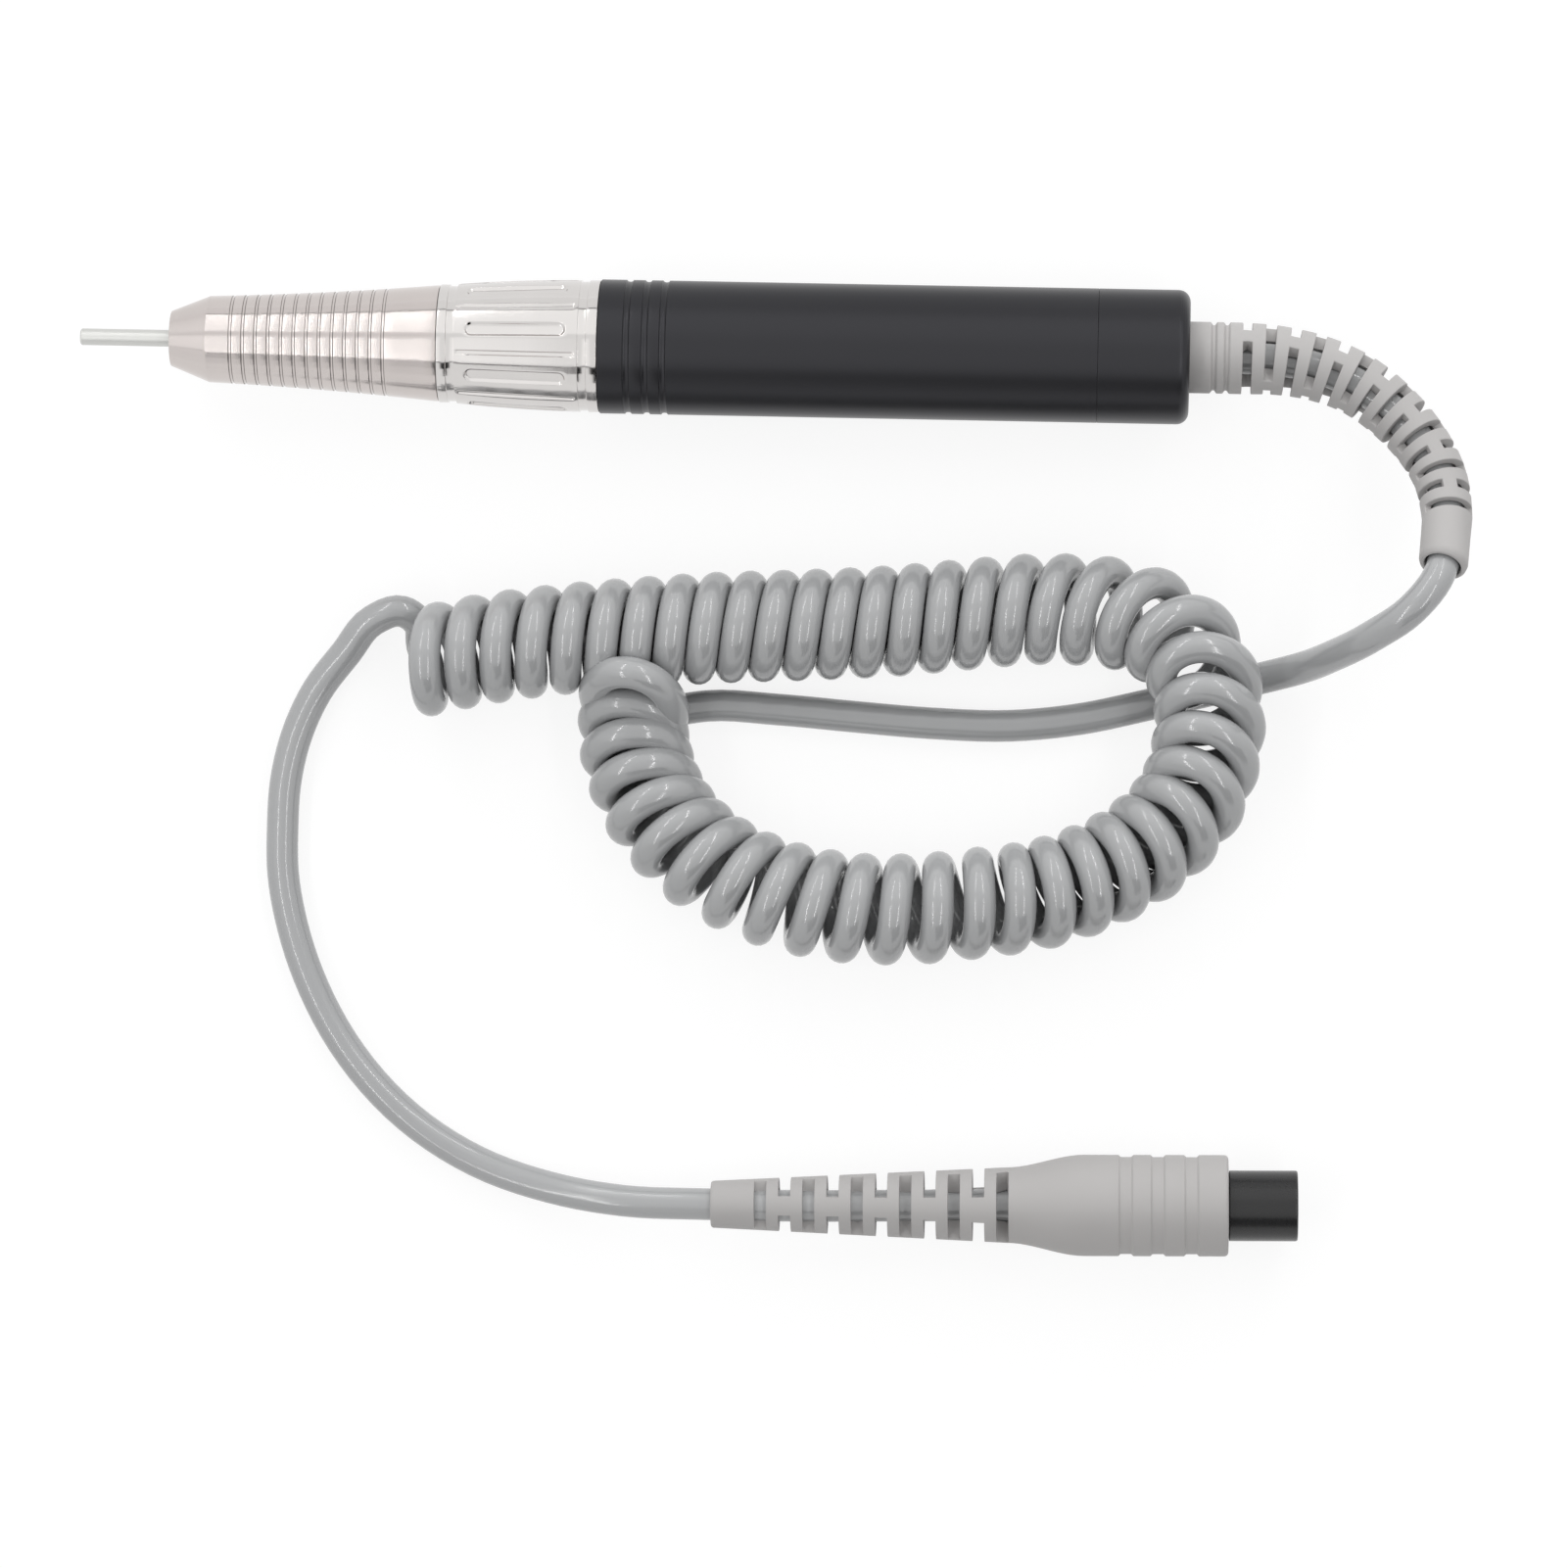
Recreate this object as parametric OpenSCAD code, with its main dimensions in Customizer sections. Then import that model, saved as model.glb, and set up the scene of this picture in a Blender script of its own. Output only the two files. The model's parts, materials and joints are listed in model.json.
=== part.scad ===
// Electric nail drill: a pen-shaped handpiece with a twist-lock collet and a
// brushed motor, a slotted bend relief, a curly cord and a round plug.
// Millimetres, +Z up. The handpiece lies along X, nose towards -X, on Z = 0.
// Inside the handpiece, s is the distance behind the nose's front face.

/* [Bit] */
// Radius of the bit's shank, 3/32 inch across
bit_r = 1.175; // [1:0.025:1.2]
// Length of shank that stands out of the nose
bit_out = 12.9; // [8:0.1:20]
// Length of shank held in the collet
bit_in = 24; // [18:0.5:25]

/* [Nose] */
// Length of the nose housing
nose_l = 37.9; // [34:0.1:42]
// Radius of the nose's front face
nose_face_r = 3.9; // [3.7:0.1:4.4]
// Radius where the front cone ends
nose_shoulder_r = 6.08; // [5.8:0.02:6.4]
// Length of the front cone
nose_shoulder_l = 5.4; // [4.8:0.1:5.8]
// Radius at the nose's rear edge
nose_rear_r = 8.2; // [8:0.05:8.4]
// Number of fine grooves turned round the nose
nose_grooves = 13; // [0:1:14]
// Distance from one fine groove to the next
nose_groove_pitch = 1.8; // [1.4:0.1:1.9]
// Width of a fine groove
nose_groove_w = 0.48; // [0.3:0.02:0.7]
// Depth of a fine groove
nose_groove_d = 0.12; // [0.06:0.02:0.2]

/* [Lock ring] */
// Length of the twist-lock ring
ring_l = 22.7; // [21:0.1:26]
// Radius of the ring's front edge
ring_front_r = 8.3; // [8.1:0.05:8.5]
// How far the ring's rear edge lies below the barrel's surface
ring_inset = 0.13; // [0:0.01:0.3]
// Number of grip pockets round the ring
ring_pockets = 8; // [4:1:8]
// Length of a grip pocket
pocket_l = 14.2; // [10:0.2:15]
// Width of a grip pocket
pocket_w = 2; // [1.4:0.1:2.4]
// Depth of a grip pocket
pocket_d = 0.5; // [0.2:0.05:0.6]
// Length of a thin slot between pockets
slot_l = 16.7; // [10:0.1:16.8]
// Width of a thin slot
slot_w = 0.8; // [0.4:0.1:1.2]
// Depth of a thin slot
slot_d = 0.35; // [0.1:0.05:0.5]
// Turn that opens the collet, degrees
lock_turn = 60; // [45:5:75]

/* [Barrel] */
// Radius of the barrel
barrel_r = 9.4; // [9.35:0.05:10.5]
// Length left for the wires behind the motor
wire_room = 4.85; // [4.8:0.05:14]
// Wall of the barrel tube
barrel_wall = 1; // [0.8:0.05:1.04]
// Length of the rear cap
cap_l = 12.8; // [12:0.1:16]
// Radius of the cap's rear corner
cap_round = 1.7; // [0.6:0.1:2.4]
// Depth of the barrel's three front grooves
barrel_groove_d = 0.25; // [0.1:0.05:0.4]

/* [Spindle and collet] */
// Radius of the spindle
spindle_r = 2.5; // [2.4:0.05:2.55]
// Radius of the collet's body
collet_r = 1.85; // [1.75:0.05:1.9]
// Radius of the collet's cone head
collet_head_r = 2.35; // [2.2:0.05:2.4]
// Travel of the collet when the ring is turned
collet_travel = 1.5; // [1:0.1:1.6]
// Travel of the cam sleeve when the ring is turned
cam_travel = 1.8; // [1.6:0.1:1.9]
// Number of slits in the collet
collet_slits = 3; // [2:1:4]

/* [Bearings] */
// Outer radius of a spindle bearing
spindle_brg_r = 4.5; // [4.4:0.05:4.6]
// Width of a spindle bearing
spindle_brg_w = 3; // [2.6:0.1:3.2]
// Outer radius of a motor bearing
motor_brg_r = 4; // [3.8:0.1:4.4]
// Width of a motor bearing
motor_brg_w = 3; // [2.6:0.1:3.2]
// Room for the collet's spring, from the bearings to the thrust collar
spring_room = 6; // [5.6:0.1:8]

/* [Motor] */
// Radius of the rotor shaft
shaft_r = 1.5; // [1.2:0.1:1.6]
// Wall of the motor can
can_wall = 0.8; // [0.6:0.05:0.9]
// Length of the armature stack
stack_l = 24; // [20:0.5:30]
// Gap between the armature stack and the magnets
air_gap = 0.43; // [0.3:0.01:0.8]
// Number of armature slots
stack_slots = 7; // [5:2:9]
// Thickness of the field magnets
magnet_t = 1.75; // [1.5:0.05:1.8]
// Radius of the commutator
comm_r = 2.6; // [2.3:0.1:2.8]

/* [Bend relief] */
// Radius of the relief's first ring
relief_r = 5; // [4.6:0.05:5.2]
// Radius of the relief's last ring
relief_end_r = 3.5; // [3.4:0.05:4]
// Number of slots along the relief
relief_slots = 14; // [6:2:14]
// Distance from one slot to the next
relief_pitch = 3.13; // [2.8:0.01:3.2]
// Width of a slot
relief_slot_w = 1.3; // [1:0.05:1.4]
// Length of the plain end ferrule
relief_ferrule_l = 8.2; // [6:0.2:9]
// Width of the webs that cross the slots
relief_web_w = 2; // [1.4:0.1:2.4]

/* [Cord] */
// Diameter of the cord
cord_d = 4.5; // [4:0.1:4.8]
// Outer diameter of the curly part
coil_d = 15.8; // [13:0.1:16.2]

/* [Plug] */
// Length of the plug's slotted boot
boot_l = 41.6; // [41.6:0.2:46]
// Radius of the boot where the cord enters
boot_thin_r = 3.3; // [3.2:0.05:3.6]
// Radius of the boot where it joins the plug
boot_thick_r = 5.3; // [4.8:0.05:5.6]
// Number of slots along the boot
boot_slots = 11; // [5:2:11]
// Distance from one slot to the next
boot_pitch = 3.4; // [3:0.05:3.4]
// Width of a slot in the boot
boot_slot_w = 1.7; // [1.2:0.05:1.9]
// Width of the webs that cross the boot's slots
boot_web_w = 2.7; // [2:0.1:3]
// Length of the plug's grip
grip_l = 31; // [28:0.2:36]
// Radius of the plug's grip
grip_r = 7.1; // [6.6:0.05:7.6]
// Radius of the plug's black nose
plug_nose_r = 4.95; // [4.6:0.05:5.2]
// Length of nose that stands out of the grip
plug_nose_l = 9.7; // [8:0.1:12]
// Number of contacts
plug_contacts_n = 3; // [2:1:5]

/* [Fits] */
// Radial gap of seats and threads
seat_gap = 0.02; // [0.01:0.01:0.04]
// Radial gap of sliding and turning fits
run_gap = 0.06; // [0.03:0.01:0.09]
// Gap between faces that turn past each other
face_gap = 0.1; // [0.05:0.05:0.2]

/* [Hidden] */

$fn = 64;

// The outer pieces in order from the nose
ring_s = nose_l;
barrel_s = ring_s + ring_l;
ring_rear_r = barrel_r - ring_inset;
axis_z = barrel_r;

// The spindle's bearings in the nose
seal_s = 1;
seal_l = 1.2;
spindle_face_s = 2.8;
spindle_flange_r = spindle_r + 0.4;
nose_hole_r = spindle_flange_r + 0.3;
front_brg_s = nose_shoulder_l + 0.6;
collar_s = nose_l - 1.6;
spacer_l = collar_s - spring_room - front_brg_s - 2 * spindle_brg_w;
rear_brg_s = front_brg_s + spindle_brg_w + spacer_l;
washer_s = rear_brg_s + spindle_brg_w;
washer_t = 0.6;
nut_s = washer_s + washer_t + face_gap;
nut_l = 2.4;
sleeve_s = nut_s + nut_l + face_gap;
thread_r = 6.9;

// The core sleeve that joins nose and barrel through the lock ring
collar_l = 5.4;
sleeve_wall = 0.6;
sleeve_r = thread_r - seat_gap;
sleeve_bore_r = sleeve_r - sleeve_wall;
sleeve_end_s = barrel_s + collar_l;
plate_s = sleeve_end_s + 0.5;

// The collet's release, from the spring to the cam sleeve
collet_s = 2.4;
collet_head_l = 3;
collet_slit_l = 11;
collar_w = 2;
collar_r = 4.2;
pin_r = 0.75;
pin_s = collar_s + collar_w / 2;
spring_wire_r = 0.35;
spring_r = spindle_r + spring_wire_r + 0.15;
spring_s = washer_s + 0.1 + spring_wire_r;
spring_end_s = collar_s - 0.1 - spring_wire_r;
cam_s = collar_s + collar_w + 0.5;
cam_flange_l = 1.5;
cam_r = sleeve_bore_r - run_gap;
cam_bore_r = 5;
cam_l = 15.5;
cam_end_s = cam_s + cam_l;
cam_pin_r = 1;
cam_pin_back = 3.5;
cam_pin_s = cam_end_s - cam_pin_back;
cam_groove_r = thread_r + 1;
cam_groove_steps = 8;
fork_s = cam_s + cam_flange_l + 0.5;
fork_ring_l = 3.5;
fork_r = 3.4;
fork_prong_l = 5.5;
fork_slot_w = 2.4;
spindle_end_s = fork_s + fork_ring_l;
dog_s = spindle_end_s + 1;
dog_tongue_l = 6;
dog_hub_l = 5;

// The motor behind the barrel's front collar
plate_l = 4;
can_s = plate_s + plate_l;
can_r = barrel_r - barrel_wall - 0.1;
can_bore_r = can_r - can_wall;
magnet_over = 2;
magnet_l = stack_l + 2 * magnet_over;
magnet_s = can_s + 5.5;
magnet_split_w = 6.4;
magnet_bore_r = can_bore_r - seat_gap - magnet_t;
stack_r = magnet_bore_r - air_gap;
stack_s = magnet_s + magnet_over;
stack_slot_r = 0.75;
stack_slot_at = stack_r - 1.6;
winding_l = 3;
comm_s = stack_s + stack_l + winding_l + 2;
comm_l = 5;
brush_s = comm_s + comm_l / 2;
brush_w = 2;
brush_in_r = comm_r + 0.05;
brush_out_r = 5.2;
holder_wall = 0.3;
holder_in_r = comm_r + 0.6;
bell_s = comm_s + comm_l + 1;
bell_l = 4;
bell_spigot_l = comm_l + 1.5;
bell_spigot_r = can_bore_r - seat_gap;
bell_bore_r = bell_spigot_r - 1.05;
motor_front_brg_s = can_s - motor_brg_w;
motor_rear_brg_s = bell_s + 0.5;
retainer_s = bell_s + bell_l + 0.05;
retainer_l = 2.4;
terminal_r = 5.5;
terminal_l = 4;
screw_r = 0.8;
screw_at_r = (motor_brg_r + bell_bore_r) / 2;

// The rear cap and what it holds
cap_spigot_l = 6;
cap_s = retainer_s + retainer_l + wire_room + cap_spigot_l;
rear_s = cap_s + cap_l;
nose_x = -(rear_s - bit_out) / 2;
rear_x = nose_x + rear_s;
cap_wall = 3;
cap_bore_r = barrel_r - 2.1;
relief_flange_r = relief_r + 1.4;
relief_flange_l = 2;
cord_r = cord_d / 2;
relief_bore_r = cord_r + 0.35;
clamp_l = 3.8;
clamp_s = rear_s - cap_wall - relief_flange_l - 0.1 - clamp_l;
cord_s = clamp_s - 2.5;

// Seen from the side, a revolved piece is a list of [s, radius] points.
function flip(p) = [for (i = [len(p) - 1:-1:0]) p[i]];
module turned(points) {
    place() rotate_extrude() polygon([for (p = points) [p[1], p[0]]]);
}
module place() {
    translate([nose_x, 0, axis_z]) rotate([0, 90, 0]) children();
}
// A tube between s0 and s1, with small edge chamfers
module tube(s0, s1, r, bore, edge = 0) {
    turned([[s0, bore], [s0, r - edge], [s0 + edge, r], [s1 - edge, r],
        [s1, r - edge], [s1, bore]]);
}
module rod(s0, s1, r) {
    place() translate([0, 0, s0]) cylinder(r = r, h = s1 - s0);
}

// Outline of the nose: a cone, then a gentle flare to the rear edge
function nose_r(s) =
    let (t = (s - nose_shoulder_l) / (nose_l - nose_shoulder_l))
    nose_shoulder_r + (nose_rear_r - nose_shoulder_r) * (0.55 * t + 0.45 * t * t);
nose_groove_s = nose_shoulder_l + 3.2;
nose_round = 0.25;
nose_fluted = [for (i = [0:nose_grooves - 1])
    let (s = nose_groove_s + i * nose_groove_pitch, e = s + nose_groove_w)
    each [[s, nose_r(s)], [s, nose_r(s) - nose_groove_d],
        [e, nose_r(e) - nose_groove_d], [e, nose_r(e)]]];
nose_last_s = nose_groove_s + nose_grooves * nose_groove_pitch;
nose_plain = [for (t = [0:0.25:1])
    let (s = nose_last_s + (nose_l - 0.2 - nose_last_s) * t) [s, nose_r(s)]];

module nose_housing() {
    outer = concat([[0, nose_face_r - nose_round], [nose_round, nose_face_r],
        [nose_shoulder_l - 0.2, nose_shoulder_r - 0.08],
        [nose_shoulder_l + 0.2, nose_r(nose_shoulder_l + 0.2)]],
        nose_grooves > 0 ? nose_fluted : [],
        nose_plain, [[nose_l, nose_rear_r - 0.15]]);
    bore_r = spindle_brg_r + seat_gap;
    inner = [[0, nose_hole_r], [front_brg_s, nose_hole_r],
        [front_brg_s, bore_r], [washer_s + washer_t / 2, bore_r],
        [washer_s + washer_t / 2, thread_r], [nose_l, thread_r]];
    color("#b9b9b6") turned(concat(outer, flip(inner)));
}

module dust_seal() {
    color("#222222") tube(seal_s, seal_s + seal_l, nose_hole_r - seat_gap,
        collet_head_r + 0.2, 0.1);
}

// Ball bearings. The ball runs half way between the races, in round grooves.
function ball_at(bore, r) = (bore + r) / 2;
function ball_r(bore, r) = 0.32 * (r - bore);
function balls_n(bore, r) =
    floor(3.14159 * ball_at(bore, r) / ball_r(bore, r) / 1.35);
module race_groove(s, w, bore, r) {
    place() translate([0, 0, s + w / 2]) rotate_extrude()
        translate([ball_at(bore, r), 0]) circle(r = ball_r(bore, r) + 0.03, $fn = 32);
}
module outer_race(s, w, bore, r) {
    difference() {
        tube(s, s + w, r, r - (r - bore) * 0.3, 0.12);
        race_groove(s, w, bore, r);
    }
}
module inner_race(s, w, bore, r) {
    difference() {
        tube(s, s + w, bore + (r - bore) * 0.3, bore + seat_gap / 2);
        race_groove(s, w, bore, r);
    }
}
module bearing_balls(s, w, bore, r) {
    n = balls_n(bore, r);
    place() translate([0, 0, s + w / 2])
        for (i = [0:n - 1]) rotate([0, 0, i * 360 / n])
            translate([ball_at(bore, r), 0, 0]) sphere(r = ball_r(bore, r), $fn = 20);
}
spindle_brg_at = [front_brg_s, rear_brg_s];
motor_brg_at = [motor_front_brg_s, motor_rear_brg_s];

module spindle_bearing_outer_races() {
    color("silver") for (s = spindle_brg_at)
        outer_race(s, spindle_brg_w, spindle_r, spindle_brg_r);
}
module spindle_bearing_balls() {
    color("silver") for (s = spindle_brg_at)
        bearing_balls(s, spindle_brg_w, spindle_r, spindle_brg_r);
}
module spindle_bearing_inner_races() {
    color("silver") for (s = spindle_brg_at)
        inner_race(s, spindle_brg_w, spindle_r, spindle_brg_r);
}
module motor_bearing_outer_races() {
    color("silver") for (s = motor_brg_at)
        outer_race(s, motor_brg_w, shaft_r, motor_brg_r);
}
module motor_bearing_balls() {
    color("silver") for (s = motor_brg_at)
        bearing_balls(s, motor_brg_w, shaft_r, motor_brg_r);
}
module motor_bearing_inner_races() {
    color("silver") for (s = motor_brg_at)
        inner_race(s, motor_brg_w, shaft_r, motor_brg_r);
}

module bearing_spacer() {
    color("gainsboro") tube(front_brg_s + spindle_brg_w, rear_brg_s,
        spindle_brg_r, spindle_brg_r - 0.6);
}
module wave_washer() {
    color("dimgray") tube(washer_s, washer_s + washer_t, spindle_brg_r,
        spindle_brg_r - 0.7);
}
module bearing_nut() {
    color("gainsboro") difference() {
        tube(nut_s, nut_s + nut_l, thread_r - seat_gap, spring_r + spring_wire_r + 0.15, 0.2);
        place() for (a = [0, 90]) rotate([0, 0, a])
            translate([-thread_r, -0.5, nut_s + nut_l - 0.8])
                cube([2 * thread_r, 1, 1.6]);
    }
}

module core_sleeve() {
    color("gainsboro") difference() {
        tube(sleeve_s, sleeve_end_s, sleeve_r, sleeve_bore_r, 0.15);
        // Straight slots that let the cam pins slide but not turn
        place() for (a = [0, 180]) rotate([0, 0, a])
            long_hole(cam_pin_s - cam_travel, cam_pin_s, cam_pin_r + run_gap, thread_r + 1);
    }
}
// A radial hole that is stretched along s, for a pin that slides
module long_hole(s0, s1, r, reach) {
    for (s = [s0, s1]) translate([0, 0, s]) rotate([0, 90, 0]) cylinder(r = r, h = reach);
    translate([0, -r, s0]) cube([reach, 2 * r, s1 - s0]);
}

// Outline of the lock ring: full at the rear, easing in towards the front
ring_step_l = 1.4;
ring_groove_l = 1.2;
ring_groove_d = 0.2;
ring_rear_land = 1.6;
function ring_r(s) =
    let (t = (barrel_s - s) / (ring_l - ring_step_l))
    ring_rear_r - (ring_rear_r - ring_front_r) * t * t;
ring_face0 = ring_s + face_gap;
ring_face1 = barrel_s - face_gap;
ring_groove0 = ring_s + ring_step_l;
ring_groove1 = barrel_s - ring_rear_land - ring_groove_l;
pocket_mid = (ring_groove0 + ring_groove_l + ring_groove1) / 2 - 0.1;

module lock_ring() {
    s0 = ring_groove0;
    s1 = s0 + ring_groove_l;
    s2 = ring_groove1;
    s3 = s2 + ring_groove_l;
    outer = concat(
        [[ring_face0, ring_front_r - 0.15], [ring_face0 + 0.15, ring_front_r],
            [s0, ring_front_r], [s0, ring_front_r - ring_groove_d],
            [s1, ring_front_r - ring_groove_d]],
        [for (i = [0:10]) let (s = s1 + (s2 - s1) * i / 10) [s, ring_r(s)]],
        [[s2, ring_r(s2) - ring_groove_d], [s3, ring_r(s3) - ring_groove_d],
            [s3, ring_r(s3)], [ring_face1 - 0.15, ring_rear_r],
            [ring_face1, ring_rear_r - 0.15]]);
    bore = thread_r - seat_gap + run_gap;
    inner = [[ring_face0, bore], [ring_face1, bore]];
    // The grip pockets lean with the outline's slope
    lean = atan((ring_r(pocket_mid + 5) - ring_r(pocket_mid - 5)) / 10);
    color("#c9c9c6") difference() {
        turned(concat(outer, flip(inner)));
        place() for (i = [0:ring_pockets - 1]) {
            rotate([0, 0, 168.8 - i * 360 / ring_pockets])
                grip_cut(lean, pocket_l, pocket_w, pocket_d);
            rotate([0, 0, 168.8 - (i + 0.5) * 360 / ring_pockets])
                grip_cut(lean, slot_l, slot_w, slot_d);
        }
        // Helical grooves inside the ring, which draw the cam pins forward
        place() for (a = [0, 180], t = [0:1 / cam_groove_steps:1])
            rotate([0, 0, a - lock_turn * t])
                translate([0, 0, cam_pin_s - cam_travel * t]) rotate([0, 90, 0])
                    cylinder(r = cam_pin_r + 0.2, h = cam_groove_r, $fn = 32);
    }
}
// A round-ended cut, from its floor outwards, pointing along local +X
module grip_cut(lean, l, w, d) {
    translate([ring_r(pocket_mid) - d, 0, pocket_mid]) rotate([0, lean, 0]) {
        for (e = [-1, 1]) translate([0, 0, e * (l - w) / 2])
            rotate([0, 90, 0]) cylinder(r = w / 2, h = 3, $fn = 32);
        translate([0, -w / 2, -(l - w) / 2]) cube([3, w, l - w]);
    }
}

module cam_sleeve() {
    color("gainsboro") difference() {
        turned([[cam_s, spindle_r + 0.4], [cam_s, cam_r - 0.2], [cam_s + 0.2, cam_r],
            [cam_end_s, cam_r], [cam_end_s, cam_bore_r],
            [cam_s + cam_flange_l, cam_bore_r], [cam_s + cam_flange_l, spindle_r + 0.4]]);
        place() translate([0, 0, cam_pin_s]) rotate([0, 90, 0])
            cylinder(r = cam_pin_r, h = 2 * thread_r, center = true);
    }
}
module cam_pins() {
    color("silver") place() for (a = [0, 180]) rotate([0, 0, a])
        translate([cam_bore_r + 0.1, 0, cam_pin_s]) rotate([0, 90, 0])
            cylinder(r = cam_pin_r - seat_gap / 2, h = cam_groove_r - 0.2 - cam_bore_r - 0.1);
}

barrel_grooves = [3.5, 6.1, 8.6];
barrel_groove_w = 0.95;
barrel_bore_r = barrel_r - barrel_wall;
module motor_barrel() {
    outer = concat([[barrel_s, barrel_r - 0.2], [barrel_s + 0.2, barrel_r]],
        [for (g = barrel_grooves) each
            let (s = barrel_s + g, d = barrel_groove_d)
            [[s, barrel_r], [s + d, barrel_r - d],
                [s + barrel_groove_w - d, barrel_r - d], [s + barrel_groove_w, barrel_r]]],
        [[cap_s - 0.1, barrel_r], [cap_s, barrel_r - 0.1]]);
    inner = [[barrel_s, thread_r], [plate_s, thread_r], [plate_s, barrel_bore_r],
        [cap_s, barrel_bore_r]];
    color("#2b2c2e") turned(concat(outer, flip(inner)));
}

module rear_cap() {
    spigot_r = barrel_bore_r - seat_gap;
    s0 = cap_s + 0.03;
    outer = concat([[cap_s - cap_spigot_l, cap_bore_r], [cap_s - cap_spigot_l, spigot_r],
        [s0, spigot_r], [s0, barrel_r - 0.1], [s0 + 0.1, barrel_r]],
        [for (a = [0:15:90]) [rear_s - cap_round * (1 - sin(a)),
            barrel_r - cap_round * (1 - cos(a))]]);
    inner = [[rear_s - cap_wall, cap_bore_r], [rear_s - cap_wall, relief_r + seat_gap],
        [rear_s, relief_r + seat_gap]];
    color("#2b2c2e") turned(concat(outer, flip(inner)));
}

module motor_can() {
    color("lightslategray") tube(can_s, bell_s, can_r, can_bore_r, 0.1);
}
module field_magnets() {
    // Two arcs, one on each side of the armature
    color("#3a3a3a") difference() {
        tube(magnet_s, magnet_s + magnet_l, magnet_bore_r + magnet_t, magnet_bore_r);
        place() translate([-magnet_split_w / 2, -can_r, magnet_s - 1])
            cube([magnet_split_w, 2 * can_r, magnet_l + 2]);
    }
}
module motor_front_plate() {
    r = can_r;
    turned_bore = motor_brg_r + seat_gap;
    color("gainsboro") turned([[plate_s, shaft_r + 0.7], [plate_s, r - 0.2],
        [plate_s + 0.2, r], [can_s, r], [can_s, turned_bore],
        [motor_front_brg_s, turned_bore], [motor_front_brg_s, shaft_r + 0.7]]);
}
module motor_end_bell() {
    pocket_r = motor_brg_r + seat_gap;
    back = bell_s + bell_l;
    color("#e4ddc8") difference() {
        turned([[bell_s - bell_spigot_l, bell_bore_r], [bell_s - bell_spigot_l, bell_spigot_r],
            [bell_s, bell_spigot_r], [bell_s, can_r], [back, can_r], [back, shaft_r + 0.6],
            [motor_rear_brg_s + motor_brg_w, shaft_r + 0.6],
            [motor_rear_brg_s + motor_brg_w, pocket_r], [bell_s, pocket_r], [bell_s, bell_bore_r]]);
        place() for (a = [90, 270]) rotate([0, 0, a]) holder_space();
        place() for (a = [0, 180]) rotate([0, 0, a])
            translate([screw_at_r, 0, bell_s - 1]) cylinder(r = screw_r + seat_gap, h = bell_l + 2);
        place() for (a = [90, 270]) rotate([0, 0, a])
            translate([terminal_r - 0.3, -1.45, bell_s + 1]) cube([0.6, 2.9, bell_l]);
    }
}
module holder_space() {
    w = brush_w + 2 * holder_wall + 2 * seat_gap;
    translate([bell_bore_r - 0.5, -w / 2, brush_s - w / 2]) cube([3, w, w]);
}
module brush_holders() {
    w = brush_w + 2 * holder_wall;
    h = bell_spigot_r - holder_in_r - 0.1;
    color("goldenrod") place() for (a = [90, 270]) rotate([0, 0, a])
        translate([holder_in_r, 0, brush_s]) difference() {
            translate([0, -w / 2, -w / 2]) cube([h, w, w]);
            translate([-1, -brush_w / 2, -brush_w / 2])
                cube([h + 1 - holder_wall, brush_w, brush_w]);
        }
}
module carbon_brushes() {
    w = brush_w - 2 * seat_gap;
    color("#2a2a2a") place() for (a = [90, 270]) rotate([0, 0, a]) difference() {
        translate([brush_in_r - 0.5, -w / 2, brush_s - w / 2])
            cube([brush_out_r - brush_in_r + 0.5, w, w]);
        translate([0, 0, brush_s - w]) cylinder(r = brush_in_r, h = 2 * w);
    }
}
module brush_springs() {
    room = bell_spigot_r - 0.1 - holder_wall - brush_out_r;
    color("silver") place() for (a = [90, 270]) rotate([0, 0, a])
        translate([brush_out_r + 0.15, 0, brush_s]) rotate([0, 90, 0])
            coil_spring(0.68, 0.14, room - 0.3, 4, 12, 6);
}
module brush_terminals() {
    color("goldenrod") place() for (a = [90, 270]) rotate([0, 0, a]) difference() {
        translate([terminal_r - 0.25, -1.4, bell_s + 1.1])
            cube([0.5, 2.8, bell_l + terminal_l]);
        translate([terminal_r - 1, 0, bell_s + bell_l + terminal_l - 0.6])
            rotate([0, 90, 0]) cylinder(r = 0.6, h = 2);
    }
}
module end_bell_screws() {
    color("silver") place() for (a = [0, 180]) rotate([0, 0, a])
        translate([screw_at_r, 0, 0]) {
            translate([0, 0, bell_s + 0.2]) cylinder(r = screw_r, h = bell_l - 0.2);
            difference() {
                translate([0, 0, bell_s + bell_l]) cylinder(r = screw_r + 0.5, h = 0.9);
                translate([-2, -0.2, bell_s + bell_l + 0.5]) cube([4, 0.4, 1]);
            }
        }
}
module motor_retainer() {
    color("gainsboro") difference() {
        tube(retainer_s, retainer_s + retainer_l, barrel_bore_r - seat_gap,
            barrel_bore_r - 1.3, 0.2);
        place() translate([-barrel_r, -0.6, retainer_s + retainer_l - 1])
            cube([2 * barrel_r, 1.2, 2]);
    }
}

// A round wire wound up local Z, with closed round ends left plain
module coil_spring(r, wire_r, h, turns, per_turn, sides) {
    n = turns * per_turn;
    path = [for (i = [0:n]) let (a = i * 360 / per_turn)
        [r * cos(a), r * sin(a), wire_r + (h - 2 * wire_r) * i / n]];
    swept(path, [for (p = path) [wire_r, wire_r]], sides);
}

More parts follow.
